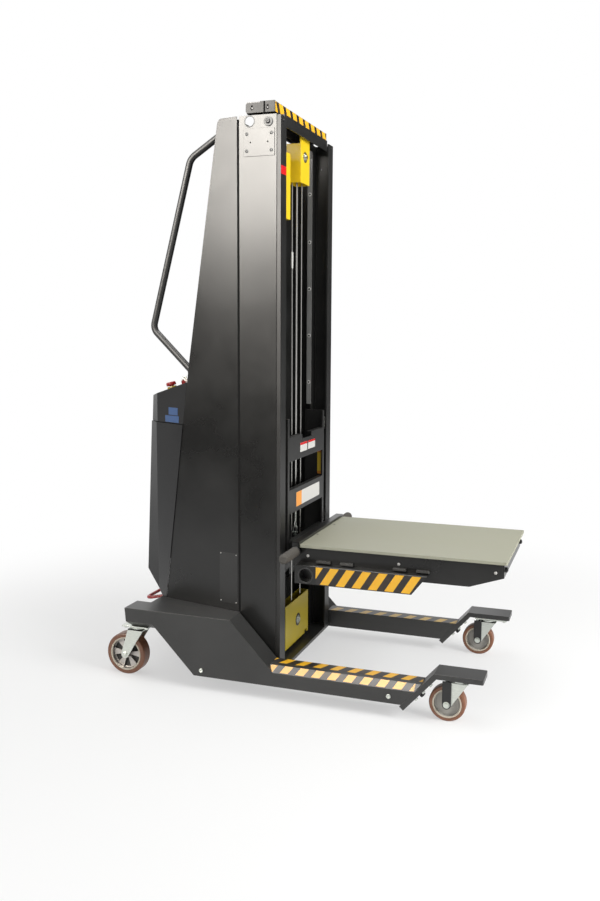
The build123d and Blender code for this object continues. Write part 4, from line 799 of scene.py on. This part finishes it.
def wheel_details(end, side, sign):
    """Bearing covers and rim rings on both faces of a wheel, and a rear wheel's spokes with a dark
    disc across its hub windows as painted shade.
    """
    size = CASTERS[end]
    axle, y, wheel = size["x"] - size["trail"], sign * size["y"], size["wheel"]
    half, rim = size["tread"] / 2, wheel * 0.8
    body = f"{end}_{side}_wheel"
    mesh, rings = bmesh.new(), bmesh.new()
    rim_ring = [
        (rim - 5.4, -2.5), (rim - 0.2, -2.5), (rim - 0.2, 0.5), (rim - 1.6, 1.0),
        (rim - 4.2, 1.0), (rim - 5.4, 0.2),
    ]
    for way in BOTH_WAYS:
        spot = place(axle, y + way * (half - 0.2), wheel)
        turned(mesh, spot, (0, way, 0), BEARING_COVER, 36, True)
        turned(rings, place(axle, y + way * half, wheel), (0, way, 0), rim_ring, 72, True)
    shown_piece(f"{end}_{side}_bearing_covers", mesh, zinc, body)
    shown_piece(f"{end}_{side}_rim_rings", rings, hub_cream, body)
    if end == "front":
        return
    mesh, window_shade_disc = bmesh.new(), bmesh.new()
    for step in range(REAR_SPOKES):
        middle = 360 / REAR_SPOKES * step
        spoke = arc(axle, wheel, SPOKE_FOOT, middle + 16, middle - 16, 4)
        spoke += arc(axle, wheel, SPOKE_END, middle - 14, middle + 14, 8)
        for way in BOTH_WAYS:
            sheet(mesh, facing("y", y + way * SPOKE_FACE, spoke), (0, way * SPOKE_OUT, 0))
    shown_piece(f"{end}_{side}_spoke_faces", mesh, cast_aluminium, body)
    # A dark disc closes the hub's windows: painted shade, where they look dark.
    turned(window_shade_disc, place(axle, y, wheel), ALONG_Y, oblong(15, 60, -1, 1), 72, True)
    shown_piece(f"{end}_{side}_hub_shade", window_shade_disc, hub_window_shade, body)


mesh = bmesh.new()
for end in CASTERS:
    for side, sign in SIDES.items():
        caster_fork(end, side, sign)
        wheel_details(end, side, sign)
        plate_bolts(mesh, end, sign)
shown_piece("caster_plate_bolts", mesh, zinc, "chassis")

# Bolts and screws

TOE_RISE, TOE_SHEET = 124.0, 18.0
toe_lean = math.radians(48.4)
toe_foot = Vector((502.0, 0, 52.0))
toe_rise = Vector((TOE_RISE / math.tan(toe_lean), 0, TOE_RISE))
toe_out = Vector((math.sin(toe_lean), 0, -math.cos(toe_lean)))
LEG_MIDDLE = (LEG_OUTER + LEG_INNER) / 2
COLUMN_FACE = 297
PLATE_X, PLATE_Z, PLATE_FACE = -58, 1950.5, 299.15
HOLE_X, HOLE_Z = -94, 2021
HANGER_X, HANGER_Z, HANGER_FACE = -24, 2017, 301.2
TOP_GUARD_X, LOW_GUARD_X = -4, -17
CAP_END_Y, CAP_END_Z = 280.6, 2066.5
PLATFORM_SIDE = 250
STRIP_X, STRIP_FACE, STRIP_BOLTS = -56.5, 239.4, (1100, 1289, 1476, 1661, 1848)
LEG_BOLT = [
    (0, SUNK), (8, SUNK), (8, 4.1), (7.2, 4.9), (4.8, 4.9), (4.6, 4.9, HEXAGON),
    (4.4, 2.0, HEXAGON), (0, 2.0),
]
PULLEY_WASHER = [
    (0, -0.2), (17, -0.2), (17.2, 0.8), (16.6, 2.0), (11.5, 2.0), (11, 1.7), (0, 1.7)
]
HOLE_LINING = [
    (16.4, -1.8), (16.4, 0.4), (17.2, 0.9), (19.6, 0.6), (20.2, -0.2), (17.0, -0.2), (17.0, -1.8)
]
HANGER = [(0, SUNK), (16, SUNK), (16, 3.4), (14.6, 5.0), (11.4, 5.0), (10.6, 4.2), (0, 4.2)]
KNOB = [(0, SUNK), (7, SUNK), (7, 5.0), (9.6, 6.5), (10, 8), (10, 14), (8.6, 16), (0, 16)]
LATCH = [(0, -0.4), (9, -0.4), (9, 6.5), (8, 8), (5.4, 8), (5.0, 10), (0, 10)]
CAP_BOLT = [(0, 0), (4.8, 0), (4.8, 3.2), (3.6, 5.2), (0, 5.6)]
STRIP_WASHER = [(3.6, 0.2), (7.4, 0.2), (7.4, -0.9), (7.0, -1.6), (3.6, -1.6)]


def on_toe(share, y):
    """A point on the toe's underside, a share of the way up its slope."""
    spot = toe_foot + toe_out * TOE_SHEET + toe_rise * share
    return place(spot.x, y, spot.z)


mesh = bmesh.new()
for sign in SIDES.values():
    for x, z in ((-245.0, 75.0), (458.0, 77.0)):
        turned(mesh, place(x, sign * LEG_OUTER, z), (0, sign, 0), LEG_BOLT, HEAD_FACETS)
    for share in (0.28, 0.5, 0.72):
        for spread in (-26.0, 26.0):
            hex_head(mesh, on_toe(share, sign * LEG_MIDDLE + spread), toe_out, 6.4, 8.0)
for x, y, z in ((TOP_GUARD_X, PULLEY_Y, PULLEY_Z), (LOW_GUARD_X, LOW_Y, LOW_Z)):
    turned(mesh, place(x, y, z), ALONG_X, PULLEY_WASHER, 40)
    hex_head(mesh, place(x + 2, y, z), ALONG_X, 9.0, 6.0)
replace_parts(shown_piece("zinc_bolts", mesh, zinc, "chassis"), "zinc_fasteners")

mesh, plate_screws = bmesh.new(), bmesh.new()
for sign in SIDES.values():
    out = (0, sign, 0)
    for dx in (-45.5, 45.5):
        for dz in (-28.5, 28.5):
            spot = place(PLATE_X + dx, sign * PLATE_FACE, PLATE_Z + dz)
            button_head(plate_screws, spot, out, 6.0, 3.0)
    face = sign * COLUMN_FACE
    turned(plate_screws, place(HOLE_X, face, HOLE_Z), out, HOLE_LINING, 48, True)
    turned(plate_screws, place(HANGER_X, face, HANGER_Z), out, HANGER, 40)
    button_head(mesh, place(HANGER_X, sign * HANGER_FACE, HANGER_Z), out, 8.6, 3.8)
    turned(mesh, on_toe(0.38, sign * LEG_MIDDLE), toe_out, KNOB, 36)
    button_head(mesh, place(21, sign * 268, 2022), ALONG_X, 4.5, 2.0)
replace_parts(shown_piece("black_screws", mesh, black_plastic, "chassis"), "black_fasteners")
shown_piece("column_screws", plate_screws, satin_steel, "chassis")

mesh, side_screws = bmesh.new(), bmesh.new()
for sign in SIDES.values():
    for x in (112.0, 449.0, 784.0):
        button_head(side_screws, place(x, sign * PLATFORM_SIDE, 500), (0, sign, 0), 5.4, 3.0)
    button_head(mesh, place(88.0, sign * PLATFORM_SIDE, 478), (0, sign, 0), 2.4, 1.6)
    turned(mesh, place(813, sign * 222, 507), ALONG_X, LATCH, 36)
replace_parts(shown_piece("platform_fixings", mesh, black_plastic, "carriage"), "platform_screws")
shown_piece("platform_side_screws", side_screws, plate_white, "carriage")

mesh = bmesh.new()
for sign in SIDES.values():
    for x in (-31.0, -89.0):
        turned(mesh, place(x, sign * CAP_END_Y, CAP_END_Z), (0, sign, 0), CAP_BOLT, 20)
shown_piece("cap_end_bolts", mesh, satin_steel, "chassis")

mesh, rings = bmesh.new(), bmesh.new()
for side, sign in SIDES.items():
    strip = facing("y", sign * 240.6, oblong(-66, -46.6, 1010, 1985))
    sheets(f"{side}_rail_strip", [strip], (0, -sign * 1.2, 0), satin_steel, "chassis")
    for z in STRIP_BOLTS:
        spot = place(STRIP_X, sign * STRIP_FACE, z)
        turned(rings, spot, (0, -sign, 0), STRIP_WASHER, 28, True)
        button_head(mesh, spot, (0, -sign, 0), 4.2, 3.4)
shown_piece("rail_strip_bolts", mesh, black_plastic, "chassis")
shown_piece("rail_strip_washers", rings, plate_white, "chassis")

# Seams of the column and its cap

REAR_LIP = ((-226, 2029), (226, 2029), (232, 2034), (232, 2051), (-232, 2051), (-232, 2034))
sheets("cap_rear_lip", [facing("x", -104, REAR_LIP)], (2.5, 0, 0), mast_black, "chassis")
for side, sign in SIDES.items():
    # Dark strips in the column seam and in the cap end's groove: painted shade.
    seam = facing("y", sign * COLUMN_FACE, oblong(-141.0, -133.6, 200, 2030))
    sheets(f"{side}_column_seam", [seam], (0, sign * 0.4, 0), seam_shade, "chassis")
    groove = facing("y", sign * 286.9, oblong(-46, -40, 2051, 2087.6))
    sheets(f"{side}_cap_end_joint", [groove], (0, sign * 0.5, 0), seam_shade, "chassis")

# Guards and platform trim

SOCKET_X, SOCKET_Z, GUARD_INNER, GUARD_TOP = 119, 439, 294, 475
GRIP_X, GRIP_Y, GRIP_Z, DECK_Z = 72.5, 273.2, 518, 542.6
SOCKET_LIP = [(24.0, -1.0), (28.6, -1.0), (29.0, 0.3), (28.2, 1.0), (24.6, 1.0), (24.0, 0.4)]
DECK_PLUG = [(0, 0), (4.5, 0), (4.5, 0.8), (3.8, 1.1), (0, 1.2)]
GRIP_COLLAR = [(12.2, 0), (18.4, 0), (18.8, 1.2), (18.8, 6.0), (18.2, 7.0), (12.2, 7.0)]
WIDE_RING = [(17.6, -0.2), (25, -0.2), (25.4, 0.6), (24.6, 1.4), (17.6, 1.4)]
NARROW_RING = [(17.6, -0.2), (19.8, -0.2), (19.8, 0.8), (17.6, 0.8)]

mesh, collars = bmesh.new(), bmesh.new()
for sign in SIDES.values():
    turned(mesh, place(SOCKET_X, sign * GUARD_OUTER, SOCKET_Z), (0, sign, 0), SOCKET_LIP, 48, True)
    turned(collars, place(GRIP_X, sign * GRIP_Y, GRIP_Z), (0, sign, 0), GRIP_COLLAR, 40, True)
shown_piece("guard_socket_rings", mesh, plate_grey, "carriage")
# Thin light-grey strips along the guards' top edges: a painted highlight of the edges catching the
# light.
edges = [
    facing("z", GUARD_TOP, oblong(137, 557, sign * GUARD_INNER, sign * GUARD_OUTER))
    for sign in SIDES.values()
]
sheets("guard_top_highlight_strips", edges, (0, 0, 1.0), satin_steel, "carriage")
mesh = bmesh.new()
for x, y in ((102.0, 105.0), (94.0, -85.0)):
    turned(mesh, place(x, y, DECK_Z), ALONG_Z, DECK_PLUG, 24)
shown_piece("deck_plugs", mesh, plate_grey, "carriage")
shown_piece("grip_collars", collars, black_plastic, "carriage")
mesh = bmesh.new()
turned(mesh, place(LOW_GUARD_X, LOW_Y, LOW_Z), ALONG_X, WIDE_RING, 48, True)
turned(mesh, place(TOP_GUARD_X, PULLEY_Y, PULLEY_Z), ALONG_X, NARROW_RING, 48, True)
shown_piece("pulley_guard_rings", mesh, black_plastic, "chassis")
for side, sign in SIDES.items():
    plug = facing("y", sign * 271.2, oblong(58.3, 85.7, 530.3, 552.7))
    sheets(f"{side}_rear_bar_plug", [plug], (0, sign * 0.8, 0), black_plastic, "carriage")

# Blank plates, where the real one carries its labels

CROSS_FACE, UPRIGHT_FACE, PLATE_THICK, PRINT_THICK = 20.0, 207, 0.5, 0.15
small_plates = [oblong(-78, 2, 853, 888), oblong(13, 97, 854, 887), oblong(-120, 155, 651, 705)]
plates = [facing("x", CROSS_FACE, corners) for corners in small_plates]
sheets("carriage_plates", plates, (PLATE_THICK, 0, 0), plate_white, "carriage")
printed = CROSS_FACE + PLATE_THICK
small_bands = [oblong(-78, 2, 879, 888), oblong(13, 97, 879, 887)]
bands = [facing("x", printed, corners) for corners in small_bands]
sheets("carriage_plate_bands", bands, (PRINT_THICK, 0, 0), red_plastic, "carriage")
block = facing("x", printed, oblong(-120, -60, 651, 705))
sheets("carriage_plate_end", [block], (PRINT_THICK, 0, 0), plate_orange, "carriage")
tag = facing("y", UPRIGHT_FACE, oblong(-6, 13.5, 728, 828))
sheets("upright_tag", [tag], (0, -PLATE_THICK, 0), plate_yellow, "carriage")
tag_face = UPRIGHT_FACE - PLATE_THICK
ends = [facing("y", tag_face, oblong(-6, 13.5, z, z + 12)) for z in (728, 816)]
sheets("upright_tag_ends", ends, (0, -PRINT_THICK, 0), plate_orange, "carriage")

CONSOLE_X, CONSOLE_Y, CONSOLE_GRADE = -376.7, -248.7, 68.7 / 152.3
console_out = Vector((-CONSOLE_GRADE, -1, 0)).normalized()


def on_console(x, z):
    """A point on the right side of the console, where a line square to it meets the cover."""
    start = place(x, CONSOLE_Y + (CONSOLE_X - x) * CONSOLE_GRADE, z) + console_out * 0.1
    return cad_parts["console_housing"].ray_cast(start, -console_out)[1]


patches = [
    [on_console(x, z) for x, z in corners]
    for corners in (oblong(-465, -415, 990, 1018), oblong(-484, -409, 962, 987))
]
sheets("console_patches", patches, console_out * 0.5, plate_blue, "chassis")

SEAM_X, NAMEPLATE_THICK = -141.3, 0.6
toe_in = math.radians(11.6)
panel_out = Vector((-math.sin(toe_in), -math.cos(toe_in), 0))


def on_rear_panel(x, z):
    """A point on the right rear panel, which leans in behind the seam."""
    return place(x, -COLUMN_FACE + (SEAM_X - x) * math.tan(toe_in), z)


nameplate = [on_rear_panel(x, z) for x, z in oblong(-224, -146, 304, 494)]
plate_out = panel_out * NAMEPLATE_THICK
sheets("rear_blank_plate", [nameplate], plate_out, plate_grey, "chassis")
mesh = bmesh.new()
for x in (-219, -151):
    for z in (309, 489):
        button_head(mesh, on_rear_panel(x, z) + plate_out * MILLIMETRE, panel_out, 2.2, 1.2)
shown_piece("rear_plate_rivets", mesh, bright_steel, "chassis")

# Control fittings

CONTROL_ROW, LEVER_Y, KEY_Y, GAUGE_Y = 446, -20, -96, 62
STOP_BACK, STOP_Y, KNURLS = 478, -150, 20
CONSOLE_TOP, CONSOLE_BACK = 1120.0, 357.0
STOP_COLLAR = [
    (17.2, 0.5), (18.0, 0.5, KNURLS), (18.4, 1.5, KNURLS), (18.4, 8.6, KNURLS),
    (18.0, 9.6, KNURLS), (17.2, 9.6),
]
LEVER_BEZEL = [(10.5, 0), (17.2, 0), (17.6, 0.8), (16.8, 2.0), (11.5, 2.0)]
KEY_BEZEL = [(9.1, 0), (11.6, 0), (11.8, 0.8), (11.0, 2.0), (9.1, 2.2)]
KEY_RING_RADIUS, KEY_RING_STEPS = 7.5, 40
KEY_TAG = ((-7, 5), (7, 5), (8, 9), (8, 20), (4, 24), (-4, 24), (-8, 20), (-8, 9))
console_slope = math.radians(16.7)
console_up = Vector((-math.sin(console_slope), 0, math.cos(console_slope)))
console_along = Vector((math.cos(console_slope), 0, math.sin(console_slope)))


def on_controls(back, y, lift=0.0):
    """A point over the console's sloping top."""
    height = CONSOLE_TOP - (back - CONSOLE_BACK) * math.tan(console_slope)
    return place(-back, y, height) + console_up * lift * MILLIMETRE


mesh = bmesh.new()
turned(mesh, on_controls(STOP_BACK, STOP_Y), console_up, STOP_COLLAR, 80, True)
shown_piece("stop_collar_ring", mesh, plate_yellow, "chassis")
mesh = bmesh.new()
turned(mesh, on_controls(CONTROL_ROW, LEVER_Y, 7.0), console_up, LEVER_BEZEL, 48, True)
turned(mesh, on_controls(CONTROL_ROW, KEY_Y, 2.0), console_up, KEY_BEZEL, 40, True)
shown_piece("control_bezels", mesh, chrome, "chassis")
gauge_corners = [
    on_controls(CONTROL_ROW, GAUGE_Y + dy, 7.05) + console_along * dx * MILLIMETRE
    for dx, dy in oblong(-19, 19, -12, 12)
]
sheets("gauge_window", [gauge_corners], console_up * 0.4, plate_grey, "chassis")

key_ring_middle = on_controls(CONTROL_ROW, KEY_Y - 8.0, 29.0)
ring_path = []
for step in range(KEY_RING_STEPS):
    angle = math.tau * step / KEY_RING_STEPS
    out = ALONG_Y * math.cos(angle) + console_up * math.sin(angle)
    ring_path.append(key_ring_middle + out * KEY_RING_RADIUS * MILLIMETRE)
mesh = bmesh.new()
swept(mesh, ring_path, 0.8, 10, closed=True)
shown_piece("key_ring", mesh, chrome, "key")
tag_corners = [
    on_controls(CONTROL_ROW, KEY_Y - 15.0, lift) + console_along * dx * MILLIMETRE
    for dx, lift in KEY_TAG
]
sheets("key_tag", [tag_corners], (0, -2.0, 0), red_plastic, "key")

# Camera, light and floor

VIEW_X, VIEW_Y, VIEW_Z = 1078.6, -3312.2, 1317.0
YAW, PITCH, ROLL = math.radians(19.4), math.radians(7.6), math.radians(0.3)
SENSOR_WIDTH, LENS = 36.0, 36.52
level = Vector((math.cos(YAW), math.sin(YAW), 0.0))
ahead_x, ahead_y = -math.sin(YAW) * math.cos(PITCH), math.cos(YAW) * math.cos(PITCH)
forward = Vector((ahead_x, ahead_y, -math.sin(PITCH)))
upright = level.cross(forward)
rightward = level * math.cos(ROLL) + upright * math.sin(ROLL)
above = upright * math.cos(ROLL) - level * math.sin(ROLL)
camera_data = bpy.data.cameras.new("photo camera")
camera_data.sensor_width = SENSOR_WIDTH
camera_data.lens = LENS
camera = bpy.data.objects.new("photo camera", camera_data)
bpy.context.scene.collection.objects.link(camera)
aimed = Matrix((rightward, above, -forward)).transposed().to_4x4()
eye = Vector((VIEW_X, VIEW_Y, VIEW_Z)) * MILLIMETRE
camera.matrix_world = Matrix.Translation(eye) @ aimed
bpy.context.scene.camera = camera


def soft_lamp(name, spot, target, wide, tall, power, shows_in, warm=0.0):
    """A rectangular lamp that faces a target, seen by matt or by glossy surfaces only."""
    data = bpy.data.lights.new(name, "AREA")
    data.shape = "RECTANGLE"
    data.size, data.size_y, data.energy = wide, tall, power
    data.color = (1.0, 1.0 - 0.4 * warm, 1.0 - warm)
    lamp = bpy.data.objects.new(name, data)
    bpy.context.scene.collection.objects.link(lamp)
    lamp.location = spot
    lamp.rotation_mode = "QUATERNION"
    lamp.rotation_quaternion = (Vector(target) - Vector(spot)).to_track_quat("-Z", "Y")
    lamp.visible_diffuse = shows_in == "matt"
    lamp.visible_glossy = shows_in == "gloss"


soft_lamp("side bank", (-2.6, -4.3, 3.10), (-2.6, 0.0, 3.10), 4.6, 1.8, 800.0, "gloss", 0.12)
soft_lamp("overhead bank", (-0.4, 0.0, 3.9), (-0.4, 0.001, 0.0), 2.4, 2.4, 215.0, "gloss", 0.06)
soft_lamp("overhead wash", (-0.2, -0.4, 3.9), (0.0, 0.0, 0.0), 2.4, 2.4, 28.0, "matt")
soft_lamp("front wash", (3.8, -1.1, 2.4), (0.0, 0.0, 1.0), 2.0, 2.0, 175.0, "matt")

WHITE = (1.0, 1.0, 1.0, 1.0)
ROOM_STRENGTH, BACKDROP_STRENGTH = 0.5, 1.0
world = bpy.data.worlds.new("studio")
bpy.context.scene.world = world
world.use_nodes = True
sky = world.node_tree
sky.nodes.clear()
rays = put(sky, "ShaderNodeLightPath").outputs
seen = maths(sky, "MAXIMUM", rays["Is Camera Ray"], rays["Is Transmission Ray"])
seen = maths(sky, "MAXIMUM", seen, rays["Is Glossy Ray"])
room = put(sky, "ShaderNodeBackground", {"Color": WHITE, "Strength": ROOM_STRENGTH})
backdrop = put(sky, "ShaderNodeBackground", {"Color": WHITE, "Strength": BACKDROP_STRENGTH})
sockets = {0: seen, 1: room.outputs["Background"], 2: backdrop.outputs["Background"]}
both = put(sky, "ShaderNodeMixShader", sockets)
put(sky, "ShaderNodeOutputWorld", {"Surface": both.outputs["Shader"]})

FLOOR_RADIUS, FLOOR_SEGMENTS = 9.0, 96
FADE_START, FADE_STOP, FADE_LEAST = 1.0, 2.6, 0.5


def floor_disc():
    """A pale floor whose far part fades into the white backdrop, with a light shadow near."""
    material, tree, shader = blank("studio floor")
    shader.inputs["Base Color"].default_value = (0.88, 0.88, 0.87, 1.0)
    shader.inputs["Roughness"].default_value = 0.75
    reach = put(tree, "ShaderNodeVectorMath", {0: own_place(tree)}, operation="LENGTH")
    span = {
        "Value": reach.outputs["Value"],
        "From Min": FADE_START,
        "From Max": FADE_STOP,
        "To Min": FADE_LEAST,
    }
    far = put(tree, "ShaderNodeMapRange", span, interpolation_type="SMOOTHSTEP")
    ray = put(tree, "ShaderNodeLightPath").outputs
    hit = maths(tree, "MAXIMUM", ray["Is Camera Ray"], ray["Is Glossy Ray"])
    fade = maths(tree, "MULTIPLY", far.outputs["Result"], hit)
    glow = put(tree, "ShaderNodeEmission", {"Color": WHITE, "Strength": BACKDROP_STRENGTH})
    sockets = {0: fade, 1: shader.outputs["BSDF"], 2: glow.outputs["Emission"]}
    blend = put(tree, "ShaderNodeMixShader", sockets)
    out = [node for node in tree.nodes if node.type == "OUTPUT_MATERIAL"][0]
    tree.links.new(blend.outputs["Shader"], out.inputs["Surface"])
    mesh = bmesh.new()
    bmesh.ops.create_circle(mesh, cap_ends=True, segments=FLOOR_SEGMENTS, radius=FLOOR_RADIUS)
    as_object("studio floor", mesh, material)


def dark_flag(name, y, corners):
    """A black studio flag, seen only in reflections."""
    material, _, shader = blank("flag cloth")
    shader.inputs["Base Color"].default_value = (0.004, 0.004, 0.004, 1.0)
    shader.inputs["Roughness"].default_value = 1.0
    mesh = bmesh.new()
    mesh.faces.new([mesh.verts.new((x, y, z)) for x, z in corners])
    flag = as_object(name, mesh, material)
    flag.visible_camera = False
    flag.visible_diffuse = False
    flag.visible_shadow = False
    flag.visible_transmission = False


floor_disc()
dark_flag("near flag", -2.4, oblong(-6.0, 1.0, 0.0, 1.86))
dark_flag("far flag", 4.5, oblong(0.4, 7.5, 0.1, 4.2))
bpy.context.scene.view_settings.view_transform = "Standard"
